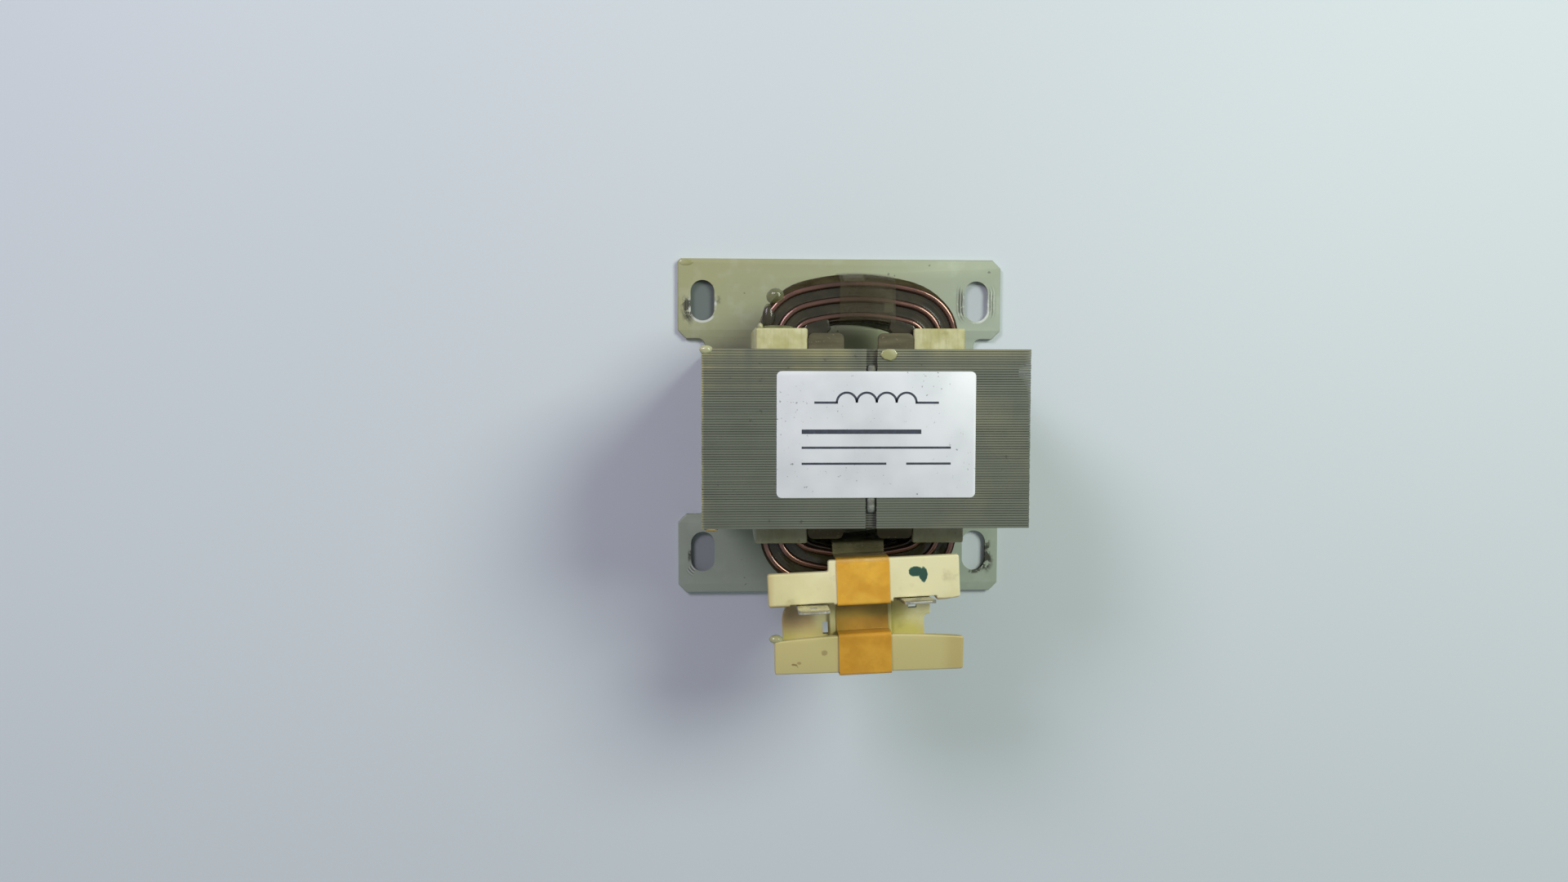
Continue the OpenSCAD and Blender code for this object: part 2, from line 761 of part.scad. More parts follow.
// Solder round the lead, open and flat where it meets the tail
module solder(i) {
    p = lead_to(i);
    hole_d = wire_d + 2 * film;
    color([0.7, 0.71, 0.72]) at_holder()
        translate([p[0], p[1], tail_z + slip]) linear_extrude(solder_l) difference() {
            circle(solder_r);
            circle(d = hole_d);
            translate([-hole_d / 2, 0]) square([hole_d, 2 * solder_r]);
            translate([-2 * solder_r, hole_d / 2]) square(4 * solder_r);
        }
}

module solder_left() { solder(0); }
module solder_right() { solder(1); }

// Label

module rating_label() {
    color([0.88, 0.89, 0.9]) translate([label_x, label_y, core_z])
        linear_extrude(label_t) rounded([label_w, label_l], label_r);
}

base_plate();
e_core();
i_core();
gap_spacer_centre();
gap_spacer_left();
gap_spacer_right();
top_weld();
joint_weld_left();
joint_weld_right();
base_weld_left();
base_weld_right();
winding();
slot_liner_left();
slot_liner_right();
slot_strip_left();
slot_strip_right();
coil_tape();
terminal_tape();
terminal_block();
tab_left();
tab_right();
lead_left();
lead_right();
sleeve_left();
sleeve_right();
solder_left();
solder_right();
rating_label();
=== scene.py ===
import math

import bpy
import numpy as np
from mathutils.geometry import tessellate_polygon
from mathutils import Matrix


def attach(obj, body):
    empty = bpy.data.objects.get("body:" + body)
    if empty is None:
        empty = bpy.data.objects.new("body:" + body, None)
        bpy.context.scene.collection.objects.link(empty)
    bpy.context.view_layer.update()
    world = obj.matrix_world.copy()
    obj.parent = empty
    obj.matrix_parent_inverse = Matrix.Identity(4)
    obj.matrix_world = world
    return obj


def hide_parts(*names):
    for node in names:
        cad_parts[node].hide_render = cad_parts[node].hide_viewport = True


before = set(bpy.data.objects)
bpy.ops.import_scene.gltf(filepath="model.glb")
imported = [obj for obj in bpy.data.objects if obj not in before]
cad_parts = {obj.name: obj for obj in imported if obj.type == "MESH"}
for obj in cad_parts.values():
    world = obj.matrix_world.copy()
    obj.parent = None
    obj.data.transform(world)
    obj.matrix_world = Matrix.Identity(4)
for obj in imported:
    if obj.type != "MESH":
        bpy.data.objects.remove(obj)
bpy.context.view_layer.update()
mm = 0.001
print("frame loaded,", len(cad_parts), "nodes")

# sizes that several pieces share, in millimetres, in the CAD's own frame
core = {"halfWidth": 33.0, "halfStack": 18.0, "base": 1.5, "yoke": 12.5, "legTop": 45.5, "barBase": 46.5,
        "top": 57.5, "centreLeg": 11.0, "window": 22.0, "seam": 1.0}
plate = {"half": 39.5, "far": 40.8, "ear": 21.4, "thick": 1.5, "chamfer": 2.0, "oddChamfer": 0.75,
         "fillet": 1.6, "round": 0.4, "dieRoll": 0.3, "burr": 0.12,
         "slotX": 33.5, "slotY": 30.7, "slotW": 6.4, "slotL": 10.4}
groove = {"x": 0.9, "half": 1.1, "depth": 1.1}
holder = {"at": (0.5, -34.136), "turn": math.radians(2.5), "base": 44.3, "top": 52.3, "web": 46.3,
          "rib": 47.3}
leftRight = (("left", -1), ("right", 1))


# meshes
def gridFaces(rows, cols, closeRows=False, closeCols=True, start=0):
    # quads between neighbouring rows and columns of a grid of points
    r = np.arange(rows if closeRows else rows - 1)[:, None]
    c = np.arange(cols if closeCols else cols - 1)[None, :]
    here, after, up = r * cols, (c + 1) % cols, (r + 1) % rows * cols
    return np.stack([here + c, here + after, up + after, up + c], -1).reshape(-1, 4) + start


def closedRings(rings):
    # rings of points joined in turn, with one face over the first and one over the last
    k, n = rings.shape[:2]
    faces = [gridFaces(k, n), np.arange(n)[None, ::-1], (k - 1) * n + np.arange(n)[None, :]]
    return rings.reshape(-1, 3), faces


def meshOf(name, shells, material):
    # several shells, each of points and blocks of faces, put into one mesh
    points, blocks, start = [], [], 0
    for shellPoints, shellBlocks in shells:
        points.append(shellPoints)
        blocks += [np.asarray(b) + start for b in shellBlocks]
        start += len(shellPoints)
    corners = np.concatenate([b.ravel() for b in blocks]).astype(np.int32)
    counts = np.concatenate([np.full(len(b), b.shape[1]) for b in blocks])
    mesh = bpy.data.meshes.new(name)
    mesh.vertices.add(start)
    mesh.vertices.foreach_set("co", (np.concatenate(points) * mm).astype(np.float32).ravel())
    mesh.loops.add(len(corners))
    mesh.loops.foreach_set("vertex_index", corners)
    mesh.polygons.add(len(counts))
    mesh.polygons.foreach_set("loop_start", (np.cumsum(counts) - counts).astype(np.int32))
    mesh.update(calc_edges=True)
    mesh.validate()
    mesh.materials.append(material)
    return mesh


def linked(name, data):
    thing = bpy.data.objects.new(name, data)
    bpy.context.scene.collection.objects.link(thing)
    return thing


def addPiece(name, shells, finish, slot, node=None, sharp=40, tones=None):
    # edges stay sharp past an angle in degrees; tones are values by point that the finish reads
    mesh = meshOf(name, shells, finishes[finish])
    mesh.shade_smooth()
    mesh.set_sharp_from_angle(angle=math.radians(sharp))
    for key, values in (tones or {}).items():
        mesh.attributes.new(key, "FLOAT", "POINT").data.foreach_set("value", values.astype(np.float32))
    piece = linked(name, mesh)
    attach(piece, "root")
    if node:
        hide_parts(node)


def dress(node, word, shells, finish, slot, **more):
    # a piece that stands for a CAD node and is named after it
    addPiece(node + "_" + word, shells, finish, slot, node, **more)


def unit(v):
    # vectors brought to length one
    return v / np.linalg.norm(v, axis=-1, keepdims=True)


def around(sides):
    # angles spread evenly round a circle
    return np.arange(sides) / sides * 2 * np.pi


def runOf(path):
    # distance along a path up to each of its points
    return np.concatenate([[0], np.cumsum(np.linalg.norm(np.diff(path, axis=0), axis=1))])


def pointsAt(places, run, path):
    # points at some distances along a path, straight between its own points
    return np.stack([np.interp(places, run, column) for column in path.T], 1)


def boxCorners(x0, y0, x1, y1):
    # rectangle, anticlockwise
    return np.array([(x0, y0), (x1, y0), (x1, y1), (x0, y1)], float)


def movedCorners(corners, inset):
    # each corner goes inwards along both of its sides' normals, for an anticlockwise outline
    p = np.asarray(corners, float)
    before, after = unit(p - np.roll(p, 1, 0)), unit(np.roll(p, -1, 0) - p)
    n, m = np.stack([-before[:, 1], before[:, 0]], 1), np.stack([-after[:, 1], after[:, 0]], 1)
    return p + inset * (n + m) / (1 + (n * m).sum(1, keepdims=True))


def roundedLoop(corners, radii, inset=0.0, steps=5, least=0.02):
    # each corner gives way to an arc that touches both of its sides
    p = np.asarray(corners, float)
    u, v = unit(np.roll(p, 1, 0) - p), unit(np.roll(p, -1, 0) - p)
    convex = u[:, 0] * v[:, 1] - u[:, 1] * v[:, 0] < 0
    r = np.broadcast_to(np.asarray(radii, float), (len(p),))
    r = np.maximum(np.where(convex, r - inset, r + inset), least)
    p = movedCorners(p, inset)
    half = np.arccos(np.clip((u * v).sum(1), -1, 1)) / 2
    centre = p + unit(u + v) * (r / np.sin(half))[:, None]
    cut = (r / np.tan(half))[:, None]
    a, b = p + u * cut - centre, p + v * cut - centre
    s = np.linspace(0, 1, steps + 1)[None, :]
    w = np.maximum(np.pi - 2 * half, 1e-4)[:, None]
    first, last = np.sin((1 - s) * w) / np.sin(w), np.sin(s * w) / np.sin(w)
    arc = first[..., None] * a[:, None] + last[..., None] * b[:, None]
    return (arc + centre[:, None]).reshape(-1, 2)


def edgeProfile(low, high, lowRound, highRound, steps=3):
    # inset and height of the rings of a slab: quarter round at the bottom, quarter round at the top
    a = np.linspace(0, np.pi / 2, steps + 1)
    inset = np.concatenate([lowRound * (1 - np.sin(a)), highRound * (1 - np.cos(a))])
    height = np.concatenate([low + lowRound * (1 - np.cos(a)), high - highRound * (1 - np.sin(a))])
    return np.stack([inset, height], 1)


def lifted(loop, z):
    # a flat loop at one height
    return np.concatenate([loop, np.full((len(loop), 1), z)], 1)


def slab(corners, radii, profile, holes=()):
    # an outline carried up a profile of insets, closed by flat faces; holes run the other way round
    rings = [np.stack([lifted(roundedLoop(corners, radii, i), z) for i, z in profile])]
    if not holes:
        return closedRings(rings[0])
    rings += [np.stack([lifted(hole(-i)[::-1], z) for i, z in profile]) for hole in holes]
    blocks, firsts, lasts, start = [], [], [], 0
    for ring in rings:
        k, n = ring.shape[:2]
        blocks.append(gridFaces(k, n, start=start))
        firsts.append(start + np.arange(n))
        lasts.append(start + (k - 1) * n + np.arange(n))
        start += k * n
    points = np.concatenate([ring.reshape(-1, 3) for ring in rings])
    for loops, up in ((firsts, -1), (lasts, 1)):
        index = np.concatenate(loops)
        tris = index[np.array(tessellate_polygon([points[loop].tolist() for loop in loops]))]
        a, b, c = points[tris[:, 0]], points[tris[:, 1]], points[tris[:, 2]]
        turned = np.cross(b - a, c - a)[:, 2] * up < 0
        blocks.append(np.where(turned[:, None], tris[:, ::-1], tris))
    return points, blocks


def capsule(x, y, w, l, sides=40):
    # slot with round ends along Y: a circle whose halves are drawn apart
    a = around(sides)
    apart = np.where(a <= np.pi, 0.5, -0.5) * (l - w)
    return lambda grow: np.stack([x + (w / 2 + grow) * np.cos(a), y + (w / 2 + grow) * np.sin(a) + apart], 1)


def circleHole(x, y, r, sides=32):
    # circle that grows by a distance
    a = around(sides)
    return lambda grow: np.stack([x + (r + grow) * np.cos(a), y + (r + grow) * np.sin(a)], 1)


def boxHole(x, y, w, l, r=0.25):
    # rectangle with round corners that grows by a distance
    corners = boxCorners(x - w / 2, y - l / 2, x + w / 2, y + l / 2)
    return lambda grow: roundedLoop(corners, r, -grow, 4)


def planarTube(path, normal, radius, sides, closed):
    # circle carried along a path that lies in one plane: cos along the plane's normal, sin across it
    ahead = np.roll(path, -1, 0) - np.roll(path, 1, 0) if closed else np.gradient(path, axis=0)
    across = unit(np.cross(normal, unit(ahead)))[:, None]
    a = around(sides)[None, :, None]
    rings = path[:, None] - radius * (np.cos(a) * np.asarray(normal) + np.sin(a) * across)
    if closed:
        return rings.reshape(-1, 3), [gridFaces(len(path), sides, True)]
    return closedRings(rings)


def toHolder(points):
    # turns the holder's own frame into the part's frame
    c, s = math.cos(holder["turn"]), math.sin(holder["turn"])
    p = np.asarray(points, float)
    out = p.copy()
    out[..., 0] = holder["at"][0] + c * p[..., 0] - s * p[..., 1]
    out[..., 1] = holder["at"][1] + s * p[..., 0] + c * p[..., 1]
    return out


def waves(points, size, seed, octaves=3, directions=5, turn=6.28):
    # smooth pseudo-random field: a few sums of sines along random directions
    rng = np.random.default_rng(seed)
    total = np.zeros(points.shape[:-1])
    for k in range(octaves):
        for _ in range(directions):
            direction = rng.normal(size=3) * (2 ** k) / size
            total += np.sin(points @ direction + rng.uniform(0, turn)) / (2 ** k)
    return total / directions


# finishes
def srgb(r, g, b):
    c = np.array([r, g, b]) / 255
    c = np.where(c <= 0.04045, c / 12.92, ((c + 0.055) / 1.055) ** 2.4)
    return (*c.tolist(), 1.0)


class Graph:
    def __init__(self, tree):
        self.tree = tree

    def put(self, value, socket):
        if isinstance(value, bpy.types.NodeSocket):
            self.tree.links.new(value, socket)
        else:
            socket.default_value = value

    def node(self, kind, out, props=None, **inputs):
        n = self.tree.nodes.new(kind)
        for key, value in (props or {}).items():
            setattr(n, key, value)
        for key, value in inputs.items():
            self.put(value, n.inputs[key.replace("_", " ")])
        return n.outputs[out]

    def calc(self, operation, a, b=0.0):
        n = self.tree.nodes.new("ShaderNodeMath")
        n.operation = operation
        self.put(a, n.inputs[0])
        self.put(b, n.inputs[1])
        return n.outputs[0]

    def times(self, total, *more):
        for value in more:
            total = self.calc("MULTIPLY", total, value)
        return total

    def plus(self, total, *more):
        for value in more:
            total = self.calc("ADD", total, value)
        return total

    def minus(self, a, b):
        return self.calc("SUBTRACT", a, b)

    def size(self, a):
        return self.calc("ABSOLUTE", a)

    def hypot(self, a, b):
        return self.calc("SQRT", self.plus(self.times(a, a), self.times(b, b)))

    def span(self, value, low, high, start=0.0, end=1.0):
        # smooth step of a value between two limits
        return self.node("ShaderNodeMapRange", "Result", {"interpolation_type": "SMOOTHSTEP"}, Value=value,
                         From_Min=low, From_Max=high, To_Min=start, To_Max=end)

    def rays(self):
        # one for rays from the camera, from reflections and through glass, nought for the others
        path = self.tree.nodes.new("ShaderNodeLightPath").outputs
        total = self.plus(path["Is Camera Ray"], path["Is Glossy Ray"], path["Is Transmission Ray"])
        return self.calc("MINIMUM", total, 1.0)


class Finish(Graph):
    def __init__(self, name, **sockets):
        self.mat = bpy.data.materials.new(name)
        self.mat.use_nodes = True
        super().__init__(self.mat.node_tree)
        self.shader = self.tree.nodes["Principled BSDF"]
        self.place = self.node("ShaderNodeTexCoord", "Object")
        self.set(**sockets)

    def set(self, **sockets):
        for key, value in sockets.items():
            self.put(value, self.shader.inputs[key.replace("_", " ")])

    def axes(self):
        # the place on the piece, in millimetres
        place = self.node("ShaderNodeVectorMath", "Vector", {"operation": "SCALE"}, Vector=self.place,
                          Scale=1 / mm)
        n = self.tree.nodes.new("ShaderNodeSeparateXYZ")
        self.put(place, n.inputs[0])
        return n.outputs

    def noise(self, scale, detail=4.0, rough=0.55, stretch=None, bend=0.0):
        # cloud with its scale per metre; a stretch below one draws it out along that axis
        at = self.place
        if stretch:
            at = self.node("ShaderNodeMapping", "Vector", Vector=at, Scale=stretch)
        return self.node("ShaderNodeTexNoise", "Fac", Vector=at, Scale=scale, Detail=detail, Roughness=rough,
                         Distortion=bend)

    def tone(self, name):
        return self.node("ShaderNodeAttribute", "Fac", {"attribute_name": name})

    def mix(self, fac, a, b):
        n = self.tree.nodes.new("ShaderNodeMix")
        n.data_type = "RGBA"
        self.put(fac, n.inputs[0])
        self.put(a, n.inputs[6])
        self.put(b, n.inputs[7])
        return n.outputs[2]

    def over(self, base, colour, *factors):
        # a colour laid over the base, as dense as the product of the factors
        return self.mix(self.times(*factors), base, colour)

    def blots(self, base, colour, low, high, amount, scale, **cloud):
        # a colour laid over the base where a noise rises from low to high
        return self.over(base, colour, self.span(self.noise(scale, **cloud), low, high, 0.0, amount))

    def bump(self, height, strength, distance):
        self.set(Normal=self.node("ShaderNodeBump", "Normal", Height=height, Strength=strength,
                                  Distance=distance * mm))


def fromSlot(f, x, y, sx, sy):
    # offsets from the middle of a slot of the plate, and the distance from its edge
    dx, dy = f.minus(x, sx * plate["slotX"]), f.minus(y, sy * plate["slotY"])
    past = f.calc("MAXIMUM", f.minus(f.size(dy), (plate["slotL"] - plate["slotW"]) / 2), 0.0)
    return dx, dy, f.minus(f.hypot(dx, past), plate["slotW"] / 2)


def plateFinish():
    look = {"steel": srgb(153, 163, 147), "varnish": srgb(158, 158, 117), "grime": srgb(62, 62, 52),
            "worn": srgb(206, 210, 204), "litUnderCoil": srgb(204, 210, 176)}
    # rub marks by screw heads: side in x and y, direction and spread in degrees, reach past the slot,
    # how much dirt and how many scratches
    marks = ((-1, 1, 206, 46, 2.6, 0.9, 0.2), (-1, 1, 2, 16, 1.5, 0.7, 0.0), (1, 1, 358, 52, 2.0, 0.25, 0.8),
             (1, 1, 188, 56, 2.1, 0.5, 0.9), (1, -1, 352, 56, 1.3, 1.0, 0.0), (1, -1, 322, 26, 2.4, 0.9, 0.2),
             (1, -1, 282, 34, 0.8, 0.9, 0.0), (-1, -1, 190, 30, 0.6, 0.9, 0.0),
             (-1, -1, 238, 12, 2.2, 0.0, 1.0))
    rub = {"fullSpread": 0.4, "fullReach": 0.35, "arcsPerMm": 9.0, "waver": 5.0, "valley": 0.7}
    f = Finish("plate_steel", Metallic=0.2, Specular_IOR_Level=0.3)
    x, y, _ = f.axes()
    aside, ahead = f.size(x), f.size(y)
    cloud = f.noise(45)
    # the varnish film thickens towards the rear left
    lean = f.plus(f.minus(y, f.times(x, 0.7)), f.times(cloud, 25.0))
    base = f.mix(f.span(lean, 0.0, 85.0), look["steel"], look["varnish"])
    base = f.blots(base, look["worn"], 0.5, 0.72, 0.1, scale=240, detail=5)
    # painted highlight on the punched rims of the rear slots, along their front side where the edge catches
    # the light
    _, dy, rim = fromSlot(f, aside, ahead, 1, 1)
    base = f.over(base, look["worn"], f.span(rim, 0.34, 0.14), f.span(f.noise(260, 3), 0.38, 0.55),
                  f.span(dy, 2.0, -1.0), f.span(y, 0.0, 10.0), 0.8)
    specks, fine = f.span(f.noise(520, 6, 0.7), 0.43, 0.53), f.noise(300, 3)
    dirt = scratches = 0.0
    for sx, sy, angle, spread, reach, dark, bright in marks:
        dx, dy, ring = fromSlot(f, x, y, sx, sy)
        angle, spread = math.radians(angle), math.radians(spread)
        along = f.plus(f.times(dx, math.cos(angle)), f.times(dy, math.sin(angle)))
        towards = f.calc("DIVIDE", along, f.plus(f.hypot(dx, dy), 0.001))
        spot = f.times(f.span(towards, math.cos(spread), math.cos(spread * rub["fullSpread"])),
                       f.span(ring, reach, reach * rub["fullReach"]))
        arcs = f.calc("SINE", f.plus(f.times(ring, rub["arcsPerMm"]), f.times(fine, rub["waver"])))
        dirt = f.plus(dirt, f.times(spot, specks, dark),
                      f.times(spot, f.span(arcs, -0.4, -0.9), bright * rub["valley"]))
        scratches = f.plus(scratches, f.times(spot, f.span(arcs, 0.4, 0.9), bright))
    base = f.over(base, look["worn"], f.calc("MINIMUM", f.times(scratches, 0.7), 1.0))
    base = f.over(base, look["grime"], f.calc("MINIMUM", dirt, 1.0))
    # darker beside the core's front and rear faces, towards the outer legs
    base = f.over(base, look["grime"], f.span(ahead, 22.5, 18.2), f.span(cloud, 0.3, 0.7),
                  f.span(aside, 19.0, 23.0), 0.6)
    # painted light: the plate under the coil is lightened where it shows through the opening beside the core
    base = f.over(base, look["litUnderCoil"], f.span(aside, 20.0, 15.0), f.span(ahead, 31.0, 27.0), 0.85)
    base = f.blots(base, look["grime"], 0.735, 0.76, 0.55, scale=420, detail=2)
    f.set(Base_Color=base, Roughness=f.span(cloud, 0.3, 0.7, 0.48, 0.64))
    f.bump(f.plus(f.times(f.noise(900, 3, stretch=(1, 0.12, 1)), 0.4), dirt), 0.2, 0.08)
    return f.mat


def sheetFinish():
    look = {"sheet": srgb(108, 112, 97), "dark": srgb(81, 85, 74), "gold": srgb(166, 158, 112),
            "grime": srgb(54, 52, 44)}
    f = Finish("core_sheet", Metallic=0.25, Coat_Weight=0.25, Coat_Roughness=0.3)
    x, y, z = f.axes()
    tone = f.tone("sheetTone")
    base = f.mix(tone, look["dark"], look["sheet"])
    # varnish drew golden lines along some sheets, most at the rear left, and along the left rim
    rear = f.span(f.minus(y, f.times(x, 0.12)), 9.5, 19.5)
    base = f.over(base, look["gold"], f.span(tone, 0.2, 0.75), rear,
                  f.span(f.noise(90, 3, stretch=(1, 0.1, 1)), 0.3, 0.6), 0.66)
    base = f.over(base, look["gold"], f.span(x, -32.4, -32.9), f.span(z, 56.6, 57.2),
                  f.span(f.noise(150, 3), 0.3, 0.6, 0.2, 0.8))
    base = f.blots(base, look["dark"], 0.5, 0.75, 0.25, scale=110, stretch=(1, 0.15, 0.3))
    base = f.blots(base, look["gold"], 0.52, 0.74, 0.2, scale=42, detail=3)
    base = f.blots(base, look["grime"], 0.69, 0.75, 0.6, scale=650, detail=3)
    # weld scale, dirt and painted shade in the weld groove
    aside = f.size(f.minus(x, groove["x"]))
    base = f.over(base, look["grime"], f.span(aside, groove["half"] + 0.12, groove["half"] - 0.1),
                  f.span(z, 57.4, 57.1), f.span(z, 56.0, 56.3), f.span(f.noise(500, 3), 0.3, 0.7, 0.9, 0.5))
    f.set(Base_Color=base, Roughness=f.span(f.noise(120), 0.3, 0.7, 0.38, 0.55))
    f.bump(f.noise(1500, 3), 0.12, 0.05)
    return f.mat


def boardFinish():
    look = {"board": srgb(94, 89, 64), "dark": srgb(70, 65, 44), "fibre": srgb(130, 120, 92),
            "pliesPerMm": 26.0}
    f = Finish("spacer_board", Roughness=0.6, Specular_IOR_Level=0.3)
    plies = f.calc("SINE", f.times(f.axes()[2], look["pliesPerMm"]))
    fibre = f.noise(500, 5, stretch=(0.15, 1, 1))
    base = f.mix(f.span(fibre, 0.35, 0.7), look["dark"], look["board"])
    base = f.blots(base, look["fibre"], 0.62, 0.72, 0.6, scale=1400, detail=2)
    f.set(Base_Color=f.over(base, look["dark"], f.span(plies, 0.3, 1.0, 0.0, 0.18)))
    f.bump(fibre, 0.3, 0.1)
    return f.mat


def weldFinish():
    look = {"bead": srgb(150, 156, 146), "scale": srgb(104, 106, 96), "heat": srgb(122, 116, 96)}
    f = Finish("weld", Metallic=0.6)
    cloud = f.noise(420, 5, 0.65)
    base = f.mix(f.span(cloud, 0.35, 0.62), look["bead"], look["scale"])
    base = f.blots(base, look["heat"], 0.5, 0.7, 1.0, scale=160, detail=2)
    f.set(Base_Color=base, Roughness=f.span(cloud, 0.3, 0.7, 0.35, 0.7))
    f.bump(cloud, 0.5, 0.2)
    return f.mat


def wireFinish():
    look = {"copper": srgb(112, 76, 62), "deep": srgb(58, 42, 32), "pool": srgb(42, 36, 28)}
    f = Finish("enamelled_wire", Metallic=0.85, Coat_Weight=0.7, Coat_Roughness=0.08, Coat_IOR=1.5)
    # copper shows on each wire's crest, partly where the varnish is thin and partly as a painted highlight on
    # the lit top
    crest = f.times(f.tone("crest"), f.span(f.noise(90, 3), 0.25, 0.6, 0.35, 1.0))
    base = f.mix(crest, look["deep"], look["copper"])
    base = f.blots(base, look["pool"], 0.6, 0.72, 1.0, scale=75, bend=0.5)
    f.set(Base_Color=base, Roughness=f.span(f.noise(300, 3), 0.3, 0.7, 0.16, 0.3))
    f.bump(f.noise(500, 2), 0.1, 0.1)
    return f.mat


def insulationFinish():
    look = {"light": srgb(200, 198, 156), "warm": srgb(170, 165, 108), "dirt": srgb(132, 122, 72),
            "frontShade": srgb(116, 121, 110)}
    f = Finish("slot_insulation", Subsurface_Weight=0.12, Subsurface_Scale=0.002,
               Subsurface_Radius=(1.0, 0.7, 0.35), Coat_Weight=0.12, Coat_Roughness=0.4)
    cloud = f.noise(150)
    base = f.mix(f.span(cloud, 0.35, 0.65), look["light"], look["warm"])
    base = f.blots(base, look["dirt"], 0.58, 0.72, 0.4, scale=260, detail=5, rough=0.65)
    base = f.blots(base, look["dirt"], 0.72, 0.76, 0.8, scale=620, detail=2)
    base = f.blots(base, look["dirt"], 0.45, 0.72, 0.32, scale=900, rough=0.6, stretch=(1, 0.08, 0.3))
    # painted shade: the strips' ends in front of the core are greyed where the core shades them
    base = f.over(base, look["frontShade"], f.span(f.axes()[1], -17.8, -18.6, 0.0, 0.55))     # greyed at the front
    f.set(Base_Color=base, Roughness=f.span(cloud, 0.3, 0.7, 0.44, 0.6))
    f.bump(f.noise(1300, 3), 0.18, 0.06)
    return f.mat


def mouldingFinish():
    look = {"light": srgb(226, 219, 174), "warm": srgb(212, 202, 149), "front": srgb(195, 183, 124),
            "green": srgb(184, 177, 74), "pinkShade": srgb(160, 132, 88), "endShade": srgb(176, 154, 94),
            "dirt": srgb(128, 104, 62), "ink": srgb(16, 62, 48), "inkEdge": srgb(60, 104, 80)}
    # ovals of middle and half sizes: two make the ink dab, two are specks on the front bar
    dab = ((11.0, -27.55, 1.5, 1.0), (12.45, -28.2, 0.85, 1.5))
    specks = ((-7.75, -44.6, 0.75, 0.7), (-13.0, -46.8, 0.5, 0.35))
    f = Finish("holder_plastic", Subsurface_Weight=0.12, Subsurface_Scale=0.0015,
               Subsurface_Radius=(1.0, 0.7, 0.3), Coat_Weight=0.12, Coat_Roughness=0.35)
    x, y, z = f.axes()
    cloud = f.noise(70)
    base = f.mix(f.span(cloud, 0.38, 0.72), look["light"], look["warm"])
    # painted shade: the valley and the front bar darken, as they lie lower and the front bar's top falls away
    # from the light
    base = f.over(base, look["front"], f.span(f.plus(y, f.times(cloud, 3.0)), -35.5, -40.5))
    # greenish low down; pinkish and darker on the web's left wing below the rear bar's lip, partly the
    # plastic's tint and partly painted shade
    base = f.over(base, look["green"], f.span(z, 49.0, 46.2), f.span(cloud, 0.35, 0.6), 0.7)
    base = f.over(base, look["pinkShade"], f.span(f.plus(x, f.times(cloud, 4.0)), -6.5, -9.5),
                  f.span(y, -42.4, -39.0), f.span(y, -34.2, -36.2), f.span(z, 49.0, 47.0), 0.8)
    base = f.blots(base, look["dirt"], 0.6, 0.76, 0.3, scale=190)
    base = f.blots(base, look["dirt"], 0.735, 0.76, 0.85, scale=330, detail=2)
    # dirt along the rear bar's front lip, and painted shade on two ends that curve away from the light: its
    # left one and the front bar's right one
    ahead = f.minus(f.minus(y, f.times(x, math.tan(holder["turn"]))), holder["at"][1])
    base = f.over(base, look["dirt"], f.span(f.size(ahead), 0.7, 0.1),
                  f.span(f.noise(260, 3), 0.32, 0.52), 0.8)
    leftEnd = f.times(f.span(x, -18.0, -19.4), f.span(ahead, -2.0, 0.0))
    rightEnd = f.times(f.span(x, 16.0, 19.6), f.span(ahead, -6.0, -7.0))
    base = f.over(base, look["endShade"], f.plus(leftEnd, rightEnd), 0.5)
    ragged = f.times(f.minus(f.noise(900, 3), 0.5), 0.7)

    def rimOf(pair):
        # one on the edge of either oval, less inside
        ovals = [f.hypot(f.times(f.minus(x, cx), 1 / rx), f.times(f.minus(y, cy), 1 / ry))
                 for cx, cy, rx, ry in pair]
        return f.plus(f.calc("MINIMUM", *ovals), ragged)

    base = f.over(base, look["dirt"], f.span(rimOf(specks), 1.1, 0.6), 0.55)
    onTop, rim = f.span(z, holder["top"] - 0.3, holder["top"] - 0.2), rimOf(dab)
    base = f.over(base, look["inkEdge"], f.span(rim, 1.12, 0.98), onTop)
    base = f.over(base, look["ink"], f.span(rim, 1.0, 0.86), onTop)
    f.set(Base_Color=base, Roughness=f.span(cloud, 0.3, 0.7, 0.36, 0.52))
    f.bump(f.noise(1200, 3), 0.12, 0.06)
    return f.mat


def tapeFinish(name, look, alpha, rough, gloss):
    f = Finish(name, Roughness=rough, Specular_IOR_Level=gloss)
    x, y, z = f.axes()
    cloud = f.noise(130, bend=0.4)
    base = f.mix(f.span(cloud, 0.35, 0.68), look["clear"], look["thick"])
    base = f.blots(base, look["thick"], 0.62, 0.72, 0.3, scale=700, detail=3)
    if "lowShade" in look:
        # painted shade darkens the tape low down, in the valley and below; the tape is left pale at the coil,
        # and painted shade darkens it at the front
        low = f.span(z, 50.0, 48.5)
        base = f.over(base, look["lowShade"], low, f.span(cloud, 0.2, 0.7, 0.75, 1.0))
        base = f.over(base, look["pale"], low, f.span(y, -26.8, -25.6))
        base = f.over(base, look["front"], f.span(y, -37.0, -38.5, 0.0, 0.5))
    f.set(Base_Color=base, Alpha=alpha(f, x, y))
    f.bump(f.noise(420, stretch=(1, 0.4, 0.4)), 0.3, 0.1)
    return f.mat


